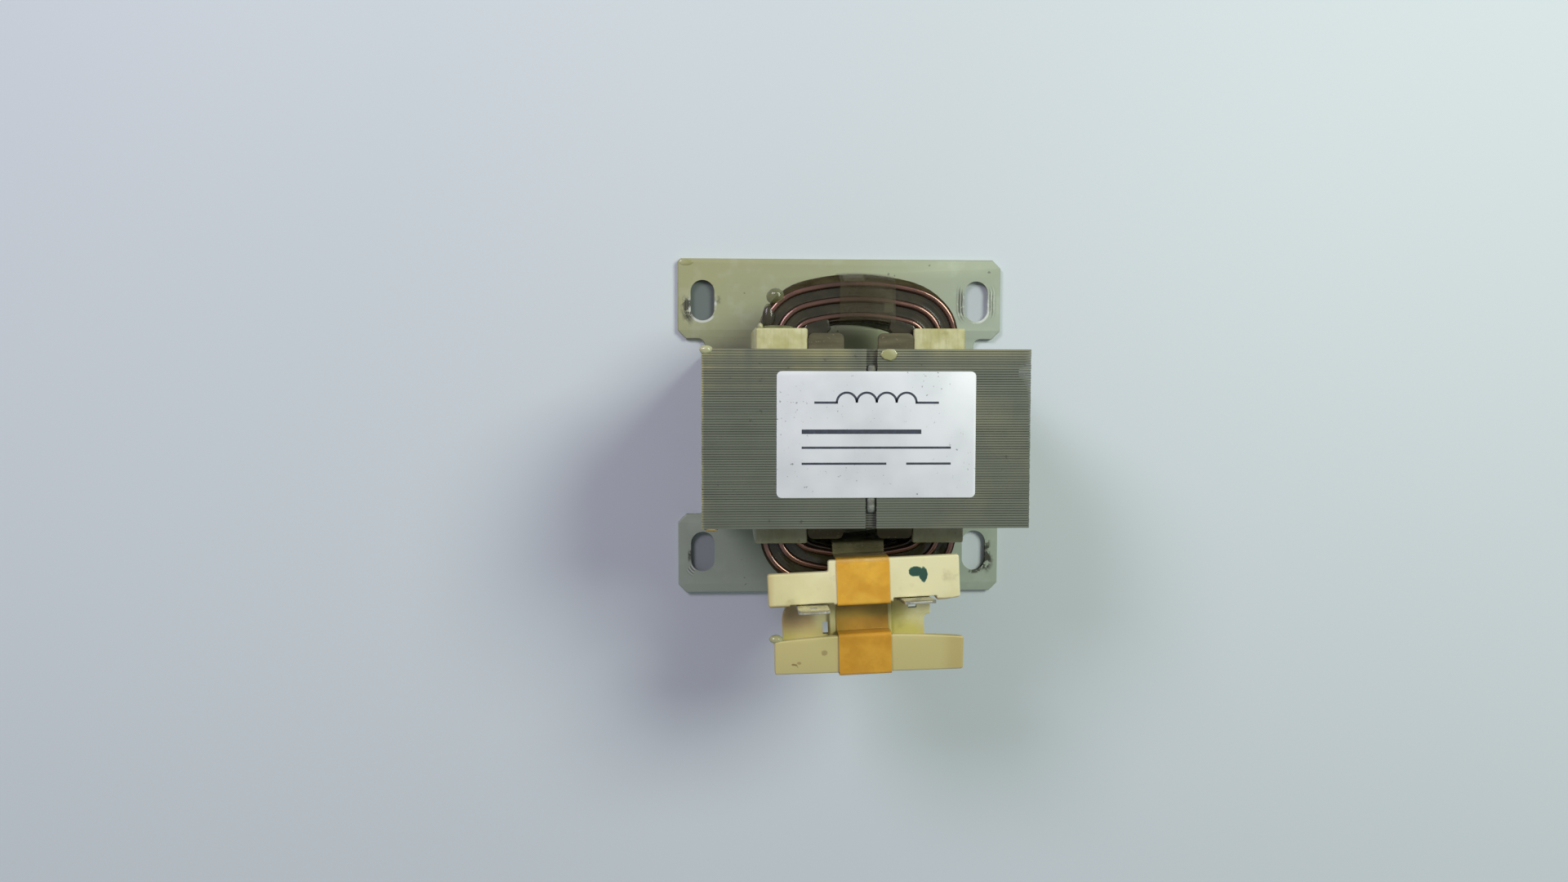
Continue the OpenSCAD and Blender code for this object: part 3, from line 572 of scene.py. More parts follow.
def coilTapeAlpha(f, x, y):
    # air under the tape makes it denser in places: left, right, front, rear and gain of each
    bubbles = ((-3.3, 0.7, 32.4, 33.8, 0.26), (0.0, 6.6, 28.4, 30.6, 0.12), (5.2, 6.9, 26.0, 27.7, 0.18))
    soft = 0.25
    total = f.span(f.noise(160, 3), 0.3, 0.7, 0.12, 0.2)
    for left, right, front, rear, gain in bubbles:
        across = f.times(f.span(x, left - soft, left), f.span(x, right + soft, right))
        along = f.times(f.span(y, front - soft, front), f.span(y, rear + soft, rear))
        total = f.plus(total, f.times(across, along, gain))
    return total


def tieTapeAlpha(f, x, y):
    # nearly clear on the coil, where varnish soaked it, denser on the holder
    behind = f.span(f.minus(y, f.times(x, math.tan(holder["turn"]))), -25.8, -25.2, 0.74, 0.3)
    return f.plus(behind, f.span(f.noise(240, 3), 0.35, 0.65, -0.06, 0.1))


def tinnedFinish():
    look = {"tin": srgb(206, 204, 190), "brass": srgb(196, 176, 120), "dull": srgb(140, 136, 122)}
    f = Finish("tinned_brass", Metallic=0.95)
    cloud = f.noise(240)
    base = f.mix(f.span(cloud, 0.4, 0.66), look["tin"], look["dull"])
    base = f.blots(base, look["brass"], 0.55, 0.72, 1.0, scale=150, detail=3)
    f.set(Base_Color=base, Roughness=f.span(cloud, 0.3, 0.7, 0.22, 0.42))
    f.bump(f.noise(1500, 3, stretch=(1, 1, 0.08)), 0.15, 0.05)
    return f.mat


def sleevingFinish():
    look = {"light": srgb(196, 196, 120), "dark": srgb(140, 138, 62)}
    f = Finish("sleeving", Roughness=0.5, Coat_Weight=0.4, Coat_Roughness=0.25)
    braid = f.tone("braid")
    base = f.mix(braid, look["dark"], look["light"])
    f.set(Base_Color=f.blots(base, look["dark"], 0.45, 0.75, 0.4, scale=300))
    f.bump(braid, 0.6, 0.1)
    return f.mat


def solderFinish():
    look = {"bright": srgb(196, 198, 200), "dull": srgb(140, 140, 138)}
    f = Finish("solder", Metallic=0.9)
    cloud = f.noise(500)
    f.set(Base_Color=f.mix(f.span(cloud, 0.35, 0.7), look["bright"], look["dull"]),
          Roughness=f.span(cloud, 0.3, 0.7, 0.2, 0.45))
    f.bump(cloud, 0.3, 0.1)
    return f.mat


def labelFinish():
    look = {"film": srgb(226, 229, 231), "shade": srgb(208, 212, 214), "dust": srgb(120, 118, 108)}
    f = Finish("label_film", Roughness=0.45, Coat_Weight=0.15, Coat_Roughness=0.3)
    base = f.mix(f.span(f.noise(60, 3), 0.4, 0.75), look["film"], look["shade"])
    f.set(Base_Color=f.over(base, look["dust"], f.span(f.noise(1300, 2), 0.66, 0.72),
                            f.span(f.noise(120, 3), 0.46, 0.62), 0.8))
    f.bump(f.noise(900), 0.08, 0.05)
    return f.mat


def printFinish():
    look = {"ink": srgb(40, 44, 56), "worn": srgb(52, 58, 74)}
    f = Finish("label_print", Roughness=0.55)
    f.set(Base_Color=f.mix(f.span(f.noise(900, 3), 0.4, 0.7), look["ink"], look["worn"]))
    return f.mat


def varnishFinish(name, thin, thick, alpha, gloss=0.5, rough=0.1, fade=None):
    # fade gives the heights between which a ragged lower edge thins out
    f = Finish(name, Roughness=rough, Alpha=alpha, Specular_IOR_Level=gloss)
    f.set(Base_Color=f.mix(f.span(f.noise(160, 3), 0.35, 0.65), thin, thick))
    if fade:
        ragged = f.times(f.minus(f.noise(150, 3, stretch=(1, 1, 0.3)), 0.5), 16.0)
        f.set(Alpha=f.span(f.plus(f.axes()[2], ragged), *fade, 0.0, alpha))
    f.bump(f.noise(220, 2), 0.15, 0.2)
    return f.mat


coilTapeLook = {"clear": srgb(112, 108, 86), "thick": srgb(90, 83, 62)}
tieTapeLook = {"clear": srgb(246, 194, 74), "thick": srgb(228, 168, 52), "lowShade": srgb(164, 146, 74),
               "pale": srgb(176, 168, 126), "front": srgb(204, 146, 46)}
finishes = {
    "plate": plateFinish(), "sheet": sheetFinish(), "board": boardFinish(), "weld": weldFinish(),
    "wire": wireFinish(), "insulation": insulationFinish(), "moulding": mouldingFinish(),
    "tinned": tinnedFinish(), "sleeving": sleevingFinish(), "solder": solderFinish(), "label": labelFinish(),
    "print": printFinish(),
    "amber": tapeFinish("coil_tape", coilTapeLook, coilTapeAlpha, rough=0.3, gloss=0.05),
    "yellow": tapeFinish("terminal_tape", tieTapeLook, tieTapeAlpha, rough=0.4, gloss=0.35),
    "drop": varnishFinish("varnish_drop", srgb(188, 188, 146), srgb(164, 162, 112), 0.88),
    "gold": varnishFinish("varnish_gold", srgb(178, 150, 84), srgb(148, 116, 54), 0.8),
    "sac": varnishFinish("varnish_sac", srgb(128, 130, 92), srgb(102, 102, 62), 0.66),
    "film": varnishFinish("varnish_film", srgb(66, 61, 44), srgb(48, 46, 34), 0.84, gloss=0.35, rough=0.16),
    "skirt": varnishFinish("varnish_skirt", srgb(74, 68, 46), srgb(54, 48, 30), 0.9, gloss=0.0, rough=0.4,
                           fade=(35.2, 41.2)),
}
print("finishes made:", len(finishes))


# base plate
def plateHalf(first):
    # right half of the outline from front to rear, with its own chamfer on the first corner
    w, far, e, c, b = plate["half"], plate["far"], plate["ear"], plate["chamfer"], core["halfWidth"]
    return np.array([(w - first, -far), (w, first - far), (w, -e - c), (w - c, -e), (b, -e),
                     (b, e), (w - c, e), (w, e + c), (w, far - c), (w - c, far)])


def plateShell():
    # outline of ears and waist carried up a rounded edge, with four slots
    r, f = plate["round"], plate["fillet"]
    radii = np.tile([r, r, r, r, f, f, r, r, r, r], 2)
    slots = [capsule(sx * plate["slotX"], sy * plate["slotY"], plate["slotW"], plate["slotL"])
             for sx in (-1, 1) for sy in (-1, 1)]
    outline = np.concatenate([plateHalf(plate["chamfer"]), -plateHalf(plate["oddChamfer"])])
    return slab(outline, radii, edgeProfile(0, plate["thick"], plate["burr"], plate["dieRoll"]), slots)


dress("base_plate", "steel", [plateShell()], "plate", "plate_steel", sharp=30)
print("base plate done")

# sheets of the core
sheets = {"count": 72, "pitch": 0.5, "thick": 0.455, "burr": 0.05, "play": 0.035, "slip": 0.006,
          "toneSpread": 0.09, "seed": 11}


def sheetStack(outline, seed):
    # every sheet is the outline carried along Y, with its own small shift and tone
    rng = np.random.default_rng(seed)
    n, k = len(outline), sheets["count"]
    profile = edgeProfile(0, sheets["thick"], sheets["burr"], sheets["burr"], 1)
    rings = np.stack([np.insert(movedCorners(outline, i), 1, y, axis=1) for i, y in profile])
    shift = rng.uniform(-1, 1, (k, 1, 1, 3)) * np.array([sheets["play"], sheets["slip"], 0])
    first = (sheets["pitch"] - sheets["thick"]) / 2 - core["halfStack"]
    shift[..., 1] += np.arange(k)[:, None, None] * sheets["pitch"] + first
    points = (rings[None] + shift).reshape(-1, 3)
    starts = np.arange(k)[:, None, None] * len(profile) * n
    sides = (gridFaces(len(profile), n)[None, :, ::-1] + starts).reshape(-1, 4)
    ends = np.stack([np.arange(n), (len(profile) - 1) * n + np.arange(n)[::-1]])
    ends = (ends[None] + starts).reshape(-1, n)
    tone = np.repeat(np.clip(rng.normal(0.5, sheets["toneSpread"], k), 0, 1), len(profile) * n)
    return (points, [sides, ends]), {"sheetTone": tone}


def eOutline():
    # yoke below, three legs up, chamfers where the seams are welded; the left half mirrors the right one
    w, l, c, s = core["halfWidth"], core["window"], core["centreLeg"], core["seam"]
    b, y, t = core["base"], core["yoke"], core["legTop"]
    right = [(w - s, b), (w, b + s), (w, t - s), (w - s, t), (l, t), (l, y), (c, y), (c, t)]
    return right + [(-x, z) for x, z in right[::-1]]


def iOutline():
    # bar with chamfers below and the weld groove in its top
    w, b, t, s = core["halfWidth"], core["barBase"], core["top"], core["seam"]
    right, left, low = groove["x"] + groove["half"], groove["x"] - groove["half"], t - groove["depth"]
    return [(s - w, b), (w - s, b), (w, b + s), (w, t), (right, t), (right, low), (left, low), (left, t),
            (-w, t), (-w, b + s)]


for k, (letter, outline) in enumerate((("e", eOutline()), ("i", iOutline()))):
    shell, tones = sheetStack(outline, sheets["seed"] + k)
    addPiece(letter + "_sheets", [shell], "sheet", "core_sheet", letter + "_core", sharp=20, tones=tones)
print("core sheets done")

# gap spacers
spacer = {"reach": 21.5, "notch": 3.55, "corner": 1.2, "inner": 0.4, "edge": 0.1, "sideCorner": 0.2}


def spacerShells():
    # board outlines carried up the gap: the centre one with notched tongues, plain ones at the sides
    c, r, n, s = core["centreLeg"], spacer["reach"], spacer["notch"], core["halfStack"]
    half = np.array([(-c, -r), (-n, -r), (-n, -s), (n, -s), (n, -r), (c, -r)])
    o, i = spacer["corner"], spacer["inner"]
    profile = edgeProfile(core["legTop"], core["barBase"], spacer["edge"], spacer["edge"], 2)
    yield "gap_spacer_centre", slab(np.concatenate([half, -half]), np.tile([o, o, i, i, o, o], 2), profile)
    for word, side in leftRight:
        x0, x1 = sorted((side * core["window"], side * (core["halfWidth"] - core["seam"])))
        yield "gap_spacer_" + word, slab(boxCorners(x0, -s, x1, s), spacer["sideCorner"], profile)


for node, shell in spacerShells():
    dress(node, "board", [shell], "board", "spacer_board")
print("gap spacers done")

# weld beads
weld = {"halfLength": 15.0, "rows": 181, "ripple": 1.3, "radius": 0.93, "rise": 1.1, "rippleDepth": 0.05,
        "curl": 0.35, "flatten": 0.6, "wobble": 0.05, "wobbleSize": 3.0, "seed": 5,
        "crown": 0.15, "sink": 0.12, "seamCurl": 0.3, "drift": 0.15, "driftSize": 4.0, "jointSeed": 7,
        "baseSeed": 11}


def beadShell(cols=17):
    # flattened half round carried along Y; the radius swells with every ripple and closes at both ends
    rows, length, radius = weld["rows"], weld["halfLength"], weld["radius"]
    y = np.linspace(-1, 1, rows) * length
    a = np.linspace(0, np.pi, cols)
    phase = (y[:, None] / weld["ripple"] + weld["curl"] * np.sin(a)) % 1     # bent forward in the middle
    ripple = 1 - weld["rippleDepth"] * (1 - phase) ** 2
    end = np.sqrt(1 - np.clip((np.abs(y) - (length - radius)) / radius, 0, 1) ** 2)
    path = np.stack([np.zeros(rows), y, np.zeros(rows)], 1)
    wobble = 1 + weld["wobble"] * waves(path, weld["wobbleSize"], weld["seed"])
    r = radius * ripple * (end * wobble)[:, None]
    z = core["top"] - groove["depth"] + weld["rise"] * r * np.sin(a) ** weld["flatten"]
    points = np.stack([groove["x"] + r * np.cos(a), np.broadcast_to(y[:, None], r.shape), z], -1)
    return points.reshape(-1, 3), [gridFaces(rows, cols)[:, ::-1]]


def seamShell(side, low, high, down, seed, cols=11):
    # groove section carried along Y: two flanks and a face whose crown sinks between the ripples
    rows, s, x = weld["rows"], core["seam"], core["halfWidth"]
    y = np.linspace(-1, 1, rows) * weld["halfLength"]
    bow = np.sin(np.pi * np.linspace(0, 1, cols))[None, :]
    drift = weld["drift"] * waves(np.stack([y, y * 0, y * 0], 1), weld["driftSize"], seed)
    phase = (y[:, None] / weld["ripple"] + weld["seamCurl"] * bow + drift[:, None]) % 1
    out = bow * (weld["crown"] - weld["sink"] * (1 - phase) ** 2)
    face = np.linspace(low - down, high + s, cols)
    front = np.stack([x + out, np.broadcast_to(y[:, None], out.shape), np.broadcast_to(face, out.shape)], -1)
    back = np.stack([np.stack([np.full(rows, x - s), y, np.full(rows, z)], 1) for z in (high, low)], 1)
    points, faces = closedRings(np.concatenate([front, back], 1) * np.array([side, 1, 1]))
    return points, [f[:, ::-side] for f in faces]


dress("top_weld", "bead", [beadShell()], "weld", "weld", sharp=60)
for word, side in leftRight:
    joint = seamShell(side, core["legTop"], core["barBase"], core["seam"], weld["jointSeed"] + side)
    base = seamShell(side, core["base"], core["base"], 0.0, weld["baseSeed"] + side)
    dress("joint_weld_" + word, "bead", [joint], "weld", "weld", sharp=60)
    dress("base_weld_" + word, "bead", [base], "weld", "weld", sharp=60)
print("weld beads done")

# winding
coil = {"wire": 1.5, "pitch": 1.54, "layers": 6, "turns": 20, "base": 13.4, "firstX": 12.27, "spread": 0.36,
        "straight": 19.56, "arcStep": 32.4, "across": 0.28, "along": 0.96, "pull": (0.4, 0.25),
        "pullTurns": 4.5, "bulge": 1.05, "cornerPoints": 10, "endPoints": 15, "sidePoints": 4,
        "shownSides": 14, "hiddenSides": 10, "endTurns": 3, "freeFrom": 19.0, "freeOver": 4.0,
        "wanderOut": 0.056, "wanderUp": 0.049, "outSize": 14.0, "upSize": 11.0, "nestedShade": 0.3, "seed": 21}
coil["topTurn"] = coil["base"] + (coil["turns"] - 0.5) * coil["pitch"]
varnish = {"lift": 0.3, "dip": 0.25, "films": ((5, 3, 0.12, 0.88), (3, 1, 0.12, 0.88), (1, 0, 0.2, 1.3)),
           "skirtLow": 33.0, "skirtGap": 0.09, "crownGap": 0.06, "crownTurns": (25, 50)}


def turnPath(layer):
    # one turn seen from above: straight sides, corner arcs and a flat end arc that meet tangentially
    x, straight = coil["firstX"] + coil["pitch"] * layer, coil["straight"] + coil["spread"] * layer
    small = x - coil["across"] * coil["arcStep"]
    large, endY = small + coil["arcStep"], straight - coil["along"] * coil["arcStep"]
    meet = math.atan2(coil["along"], coil["across"])
    a = np.linspace(0, meet, coil["cornerPoints"])
    b = np.linspace(meet, np.pi / 2, coil["endPoints"])[1:]
    corner = np.stack([x - small + small * np.cos(a), straight + small * np.sin(a)], 1)
    end = np.stack([large * np.cos(b), endY + large * np.sin(b)], 1)
    along = np.linspace(0, straight, coil["sidePoints"] + 1)[:-1]
    quarter = np.concatenate([np.stack([np.full(len(along), x), along], 1), corner, end])
    left = quarter[::-1][1:] * np.array([-1, 1])
    rear = np.concatenate([quarter, left[:-1]])
    return np.concatenate([rear, -rear])


def pulledIn(path, layer, z):
    # the top turns slip inwards at the middle of the ends, less and less further down and on inner layers;
    # the first layer bulges outwards there and leaves an opening beside the core
    first, more = coil["pull"]
    straight = coil["straight"] + coil["spread"] * layer
    past = np.clip((np.abs(path[:, 1]) - straight) / (np.abs(path[:, 1]).max() - straight), 0, 1)
    down = np.clip(1 - (coil["topTurn"] - z) / (coil["pullTurns"] * coil["pitch"]), 0, 1) ** 2
    move = (first + more * layer) * past * down - (coil["bulge"] if layer == 0 else 0.0) * np.sqrt(past)
    return np.stack([path[:, 0], path[:, 1] - np.sign(path[:, 1]) * move, np.full(len(path), z)], 1)


def outwardOf(path):
    # level normals of a turn
    flat = lifted(path, 0.0)
    return unit(np.cross(unit(np.roll(flat, -1, 0) - np.roll(flat, 1, 0)), [0, 0, 1]))


def coilShells():
    # closed turns; every second layer has one turn less and nests half a pitch lower
    rng = np.random.default_rng(coil["seed"])
    shells, crests = [], []
    last = coil["layers"] - 1
    for layer in range(coil["layers"]):
        path = turnPath(layer)
        flat, outward = lifted(path, 0.0), outwardOf(path)
        free = np.clip((np.abs(path[:, 1]) - coil["freeFrom"]) / coil["freeOver"], 0, 1)[:, None]
        edge, nested = layer in (0, last), layer % 2 == 0
        count = coil["turns"] - nested
        sides = coil["shownSides"] if edge else coil["hiddenSides"]
        crest = np.clip(-np.cos(around(sides)), 0, 1)
        if layer == last:
            crest = np.maximum(crest, np.abs(np.sin(around(sides))))
        for turn in range(count):
            if not edge and coil["endTurns"] <= turn < count - coil["endTurns"]:
                continue                                   # hidden between the layers
            z = coil["base"] + (turn + (1.0 if nested else 0.5)) * coil["pitch"]
            # turns wander only past the core
            out = waves(flat, coil["outSize"], rng.integers(1 << 30), 2)[:, None] * coil["wanderOut"]
            up = waves(flat, coil["upSize"], rng.integers(1 << 30), 2)[:, None] * coil["wanderUp"]
            points = pulledIn(path, layer, z) + free * (outward * out + np.array([0, 0, 1]) * up)
            shells.append(planarTube(points, [0, 0, 1], coil["wire"] / 2, sides, True))
            # painted shade: the crests of the nested, lower layers are dimmed
            crests.append(np.tile((coil["nestedShade"] if nested else 1.0) * crest ** 2, len(points)))
    return shells, {"crest": np.concatenate(crests)}


def filmShell(outer, inner, start, end, cols=9):
    # varnish between two raised layers: straight across from one to the other, hollow in the middle
    a, b = (pulledIn(turnPath(layer), layer, coil["topTurn"]) for layer in (outer, inner))
    t = np.linspace(start, end, cols)[None, :, None]
    points = a[:, None] + (b - a)[:, None] * t
    points[..., 2] += varnish["lift"] - varnish["dip"] * np.sin(np.pi * np.clip(t[..., 0], 0, 1))
    return points.reshape(-1, 3), [gridFaces(len(a), cols, True, False)]


def skirtShell(rows=11):
    # varnish outside the last layer's upper turns: it follows their slip inwards and closes on the top turn
    layer, reach = coil["layers"] - 1, coil["wire"] / 2
    path = turnPath(layer)
    outward = outwardOf(path)
    heights = np.linspace(varnish["skirtLow"], coil["topTurn"], rows)
    rings = [pulledIn(path, layer, z) + outward * (reach + varnish["skirtGap"]) for z in heights]
    crown = pulledIn(path, layer, coil["topTurn"])
    for a in np.radians(varnish["crownTurns"]):
        way = outward * math.cos(a) + np.array([0, 0, math.sin(a)])
        rings.append(crown + (reach + varnish["crownGap"]) * way)
    return np.concatenate(rings), [gridFaces(len(rings), len(path))]


shells, tones = coilShells()
films = [filmShell(*film) for film in varnish["films"]]
dress("winding", "turns", shells, "wire", "enamelled_wire", sharp=80, tones=tones)
addPiece("winding_varnish", films, "film", "enamelled_wire", sharp=60)
addPiece("winding_skirt", [skirtShell()], "skirt", "enamelled_wire", sharp=60)
print("winding done:", len(shells), "turns")

# slot insulation
lining = {"inner": 11.0, "outer": 22.0, "thick": 0.4, "low": 12.5, "high": 45.1, "reach": 22.5, "wave": 0.1,
          "waveSize": 6.0, "freeOver": 4.5, "seed": 31}
strip = {"inner": 11.1, "outer": 21.9, "low": 45.1, "high": 46.4, "reach": 22.5, "corner": 0.5, "edge": 0.4,
         "lowEdge": 0.15, "crown": 0.18, "flat": 5.0}


def sheetWall(a, b, reach, seed, rows=33, cols=9):
    # flat sheet between two lines of its section, with a slight wave towards its free ends
    a, b = np.asarray(a, float), np.asarray(b, float)
    y, t = np.meshgrid(np.linspace(-reach, reach, rows), np.linspace(0, 1, cols), indexing="ij")
    line = a + (b - a) * t[..., None]
    grid = np.stack([line[..., 0], y, line[..., 1]], -1)
    along = unit(b - a)
    normal = np.array([along[1], 0, -along[0]])
    free = np.clip((np.abs(y) - core["halfStack"]) / lining["freeOver"], 0, 1)
    back = grid + normal * (free * lining["wave"] * waves(grid, lining["waveSize"], seed))[..., None]
    points = np.concatenate([back.reshape(-1, 3), (back + normal * lining["thick"]).reshape(-1, 3)])
    n = rows * cols
    index = np.arange(n).reshape(rows, cols)
    rim = np.concatenate([index[0], index[1:, -1], index[-1, -2::-1], index[-2:0:-1, 0]])
    after = np.roll(rim, -1)
    return points, [gridFaces(rows, cols, False, False)[:, ::-1], gridFaces(rows, cols, False, False, n),
                    np.stack([rim, after, after + n, rim + n], 1)]


def linerShells(side):
    # walls on the centre leg, on the outer leg and on the yoke; their ends swap places on the left
    i, o, low, high = side * lining["inner"], side * lining["outer"], lining["low"], lining["high"]
    walls = (((i, low), (i, high), core["halfStack"]), ((o, high), (o, low), lining["reach"]),
             ((o, low), (i, low), lining["reach"]))
    return [sheetWall(*(start, end)[::side], reach, lining["seed"] + k)
            for k, (start, end, reach) in enumerate(walls)]


def stripShell(side):
    # rounded slab; further rings inwards raise its top to a low crown
    x0, x1 = sorted((side * strip["inner"], side * strip["outer"]))
    r, top = strip["reach"], strip["high"] - strip["crown"]
    edge = edgeProfile(strip["low"], top, strip["lowEdge"], strip["edge"])
    t = np.linspace(0, 1, 6)[1:]
    inset = strip["edge"] + t * (strip["flat"] - strip["edge"])
    profile = np.concatenate([edge, np.stack([inset, top + strip["crown"] * np.sin(np.pi / 2 * t)], 1)])
    return slab(boxCorners(x0, -r, x1, r), strip["corner"], profile)


for word, side in leftRight:
    dress("slot_liner_" + word, "sheet", linerShells(side), "insulation", "slot_insulation")
for word, side in leftRight:
    dress("slot_strip_" + word, "wedge", [stripShell(side)], "insulation", "slot_insulation")
print("slot insulation done")

# terminal holder
block = {"left": -19.9, "right": 19.8, "depth": 9.2, "step": 2.3, "stepX": -7.4, "wall": 1.6, "lip": 1.4,
         "corner": 0.5, "stepRound": 0.4, "notchRound": 0.15, "arcRound": 0.05, "edge": 0.35,
         "coreRound": 0.25, "rimRound": 0.15, "draft": 0.1, "sag": 0.1, "sagAt": 19.0, "sweep": 4.4,
         "sweepBack": 0.41, "sweepAt": (0.25, 0.5, 0.75, 1.0),
         "pockets": ((-11.0, 0.33), (10.4, 0.82)), "pocketHalf": 4.5,
         "frontAt": (0.6, -11.25), "frontTurn": math.radians(-1.2), "frontHalf": 19.7, "frontDepth": 7.1,
         "bow": 1.0, "bowPoints": 25, "frontTop": 51.5, "fall": 1.2, "valley": 7.7,
         "wingLeft": -17.0, "wingRight": 14.4, "wingRound": 4.0, "wingStep": (1.4, 4.05), "reach": 9.9,
         "behind": 0.8, "webRounds": (0.1, 0.1, 1.0, 0.35, 0.1, 0.1, 0.05, 3.9), "webEdges": (0.1, 0.25),
         "ribFrom": -7.2, "ribTo": 6.0, "ribLow": 44.4, "ribRound": 0.3, "ribEdges": (0.1, 0.35),
         "windows": ((-8.0, -5.9, 1.6, 3.0), (10.6, -2.1, 2.2, 1.4))}


def rearPlan(g, f):
    # outline moved in by g at the back and ends and by f at the front, with a pocket for each blade and a
    # swept right end
    l, r, d, s, x = block["left"], block["right"], block["depth"], block["step"], block["stepX"]
    notches = [(at + sx * block["pocketHalf"], f + deep * p) for at, p in block["pockets"]
               for sx, deep in ((-1, 0), (-1, 1), (1, 1), (1, 0))]
    sweep = [(r - g - block["sweep"] * (1 - t), f + block["sweepBack"] * t * t) for t in block["sweepAt"]]
    back = [(r - g, d - g), (x + g, d - g), (x + g, d - s - g), (l + g, d - s - g)]
    return [(l + g, f)] + notches + sweep + back


def frontPlan(g, f):
    # straight front and ends, and an arc as rear edge
    h, d, bow = block["frontHalf"], block["frontDepth"] / 2, block["bow"]
    radius = (h * h + bow * bow) / (2 * bow)
    x = np.linspace(h - g, g - h, block["bowPoints"])
    arc = np.stack([x, d + bow - radius + np.sqrt((radius - g) ** 2 - x ** 2)], 1)
    corners = np.concatenate([[(g - h, f - d), (h - g, f - d)], arc])
    c, s = math.cos(block["frontTurn"]), math.sin(block["frontTurn"])
    return corners @ np.array([[c, s], [-s, c]]) + block["frontAt"]


def lippedBar(plan, radii, topAt):
    # rings from the cored underside down its wall, round the rim, up to the lip and over the rounded top
    w, l, e = block["wall"], block["lip"], block["edge"]
    c, r, d = block["coreRound"], block["rimRound"], block["draft"]
    # inset at the ends and at the front, whether the ring is on the rim or hangs from the top, and its rise
    rows = ((l + w + c, w + c, 0, -w), (l + w, w, 0, -w - c), (l + w - d, w - d, 1, d), (l + r, r, 1, 0),
            (l, 0, 1, r), (l, 0, 0, -w - d), (l - d, 0, 0, -w), (r, 0, 0, -w), (0, 0, 0, r - w))
    a = np.linspace(0, np.pi / 2, 5)
    loops = [roundedLoop(plan(g, f), radii, 0, 4) for g, f, _, _ in rows]
    loops += [roundedLoop(plan(0, 0), radii, i, 4) for i in e * (1 - np.cos(a))]
    loops = np.stack(loops)
    onRim = np.array([row[2] for row in rows] + [0] * len(a))[:, None]
    rise = np.concatenate([[row[3] for row in rows], -e * (1 - np.sin(a))])[:, None]
    z = np.where(onRim == 1, holder["base"], topAt(loops)) + rise
    return closedRings(np.concatenate([loops, z[..., None]], 2))


def rearBar():
    # its top sags towards both ends
    c = block["corner"]
    radii = [c] + [block["notchRound"]] * 8 + [block["arcRound"]] * 3 + [c, c, c, block["stepRound"], c]
    sag = block["sag"] / block["sagAt"] ** 2
    return lippedBar(rearPlan, radii, lambda p: holder["top"] - sag * p[..., 0] ** 2)


def frontBar():
    # its top falls towards the front
    radii = np.full(block["bowPoints"] + 2, block["arcRound"])
    radii[[0, 1, 2, -1]] = block["corner"]
    slope = block["fall"] / block["frontDepth"]
    return lippedBar(frontPlan, radii, lambda p: block["frontTop"] + (p[..., 1] + block["valley"]) * slope)


def webShell():
    # plate between the bars with a stepped right wing, a round left one and a window for each blade
    l, r, w, v, b = block["wingLeft"], block["wingRight"], block["wingRound"], block["reach"], block["behind"]
    s, d = block["wingStep"]
    corners = [(l, -v), (r - s, -v), (r - s, -d), (r, -d), (r, b), (l + w, b), (l + w, 0), (l, 0)]
    holes = [boxHole(*hole) for hole in block["windows"]]
    profile = edgeProfile(holder["base"], holder["web"], *block["webEdges"])
    return slab(corners, block["webRounds"], profile, holes)


def ribShell():
    # raised middle of the web
    corners = boxCorners(block["ribFrom"], -block["reach"], block["ribTo"], block["behind"])
    return slab(corners, block["ribRound"], edgeProfile(block["ribLow"], holder["rib"], *block["ribEdges"]))


shells = [(toHolder(points), faces) for points, faces in (rearBar(), frontBar(), webShell(), ribShell())]
dress("terminal_block", "moulding", shells, "moulding", "holder_plastic", sharp=35)
print("terminal holder done")

# blades: middle and lean of each, then the sizes of both
blade = {"left": (-11.0, 0.3), "right": (10.4, 1.4), "half": 3.175, "tail": 2.0, "middle": -0.3, "thick": 0.8,
         "low": 36.3, "tip": 59.9, "chamfer": 1.0, "hole": 0.9, "holeZ": 55.9, "edge": 0.14, "tipThin": 0.45,
         "tipReach": 1.4, "corner": 0.3, "shoulder": 0.2}


def bladeShell(x, lean):
    # outline in X and Z with a hole, carried along Y; the tip is pressed thinner and the blade leans from
    # the web up
    h, t, low, web = blade["half"], blade["tail"], blade["low"], holder["web"]
    tip, c = blade["tip"], blade["chamfer"]
    right = [(t, low), (t, web), (h, web), (h, tip - c), (h - c, tip)]
    corners = right + [(-u, z) for u, z in right[::-1]]
    r, s = blade["corner"], blade["shoulder"]
    profile = edgeProfile(0, blade["thick"], blade["edge"], blade["edge"])
    points, blocks = slab(corners, [r, s, s, r, r, r, r, s, s, r], profile,
                          [circleHole(0, blade["holeZ"], blade["hole"])])
    z = points[:, 1]
    thin = 1 - blade["tipThin"] * np.clip((z - tip + blade["tipReach"]) / blade["tipReach"], 0, 1)
    across = (blade["thick"] / 2 - points[:, 2]) * thin
    y = blade["middle"] + across + lean * np.clip((z - web) / (tip - web), 0, 1)
    return toHolder(np.stack([points[:, 0] + x, y, z], 1)), blocks


for word, _ in leftRight:
    dress("tab_" + word, "blade", [bladeShell(*blade[word])], "tinned", "tinned_brass", sharp=30)
print("blades done")

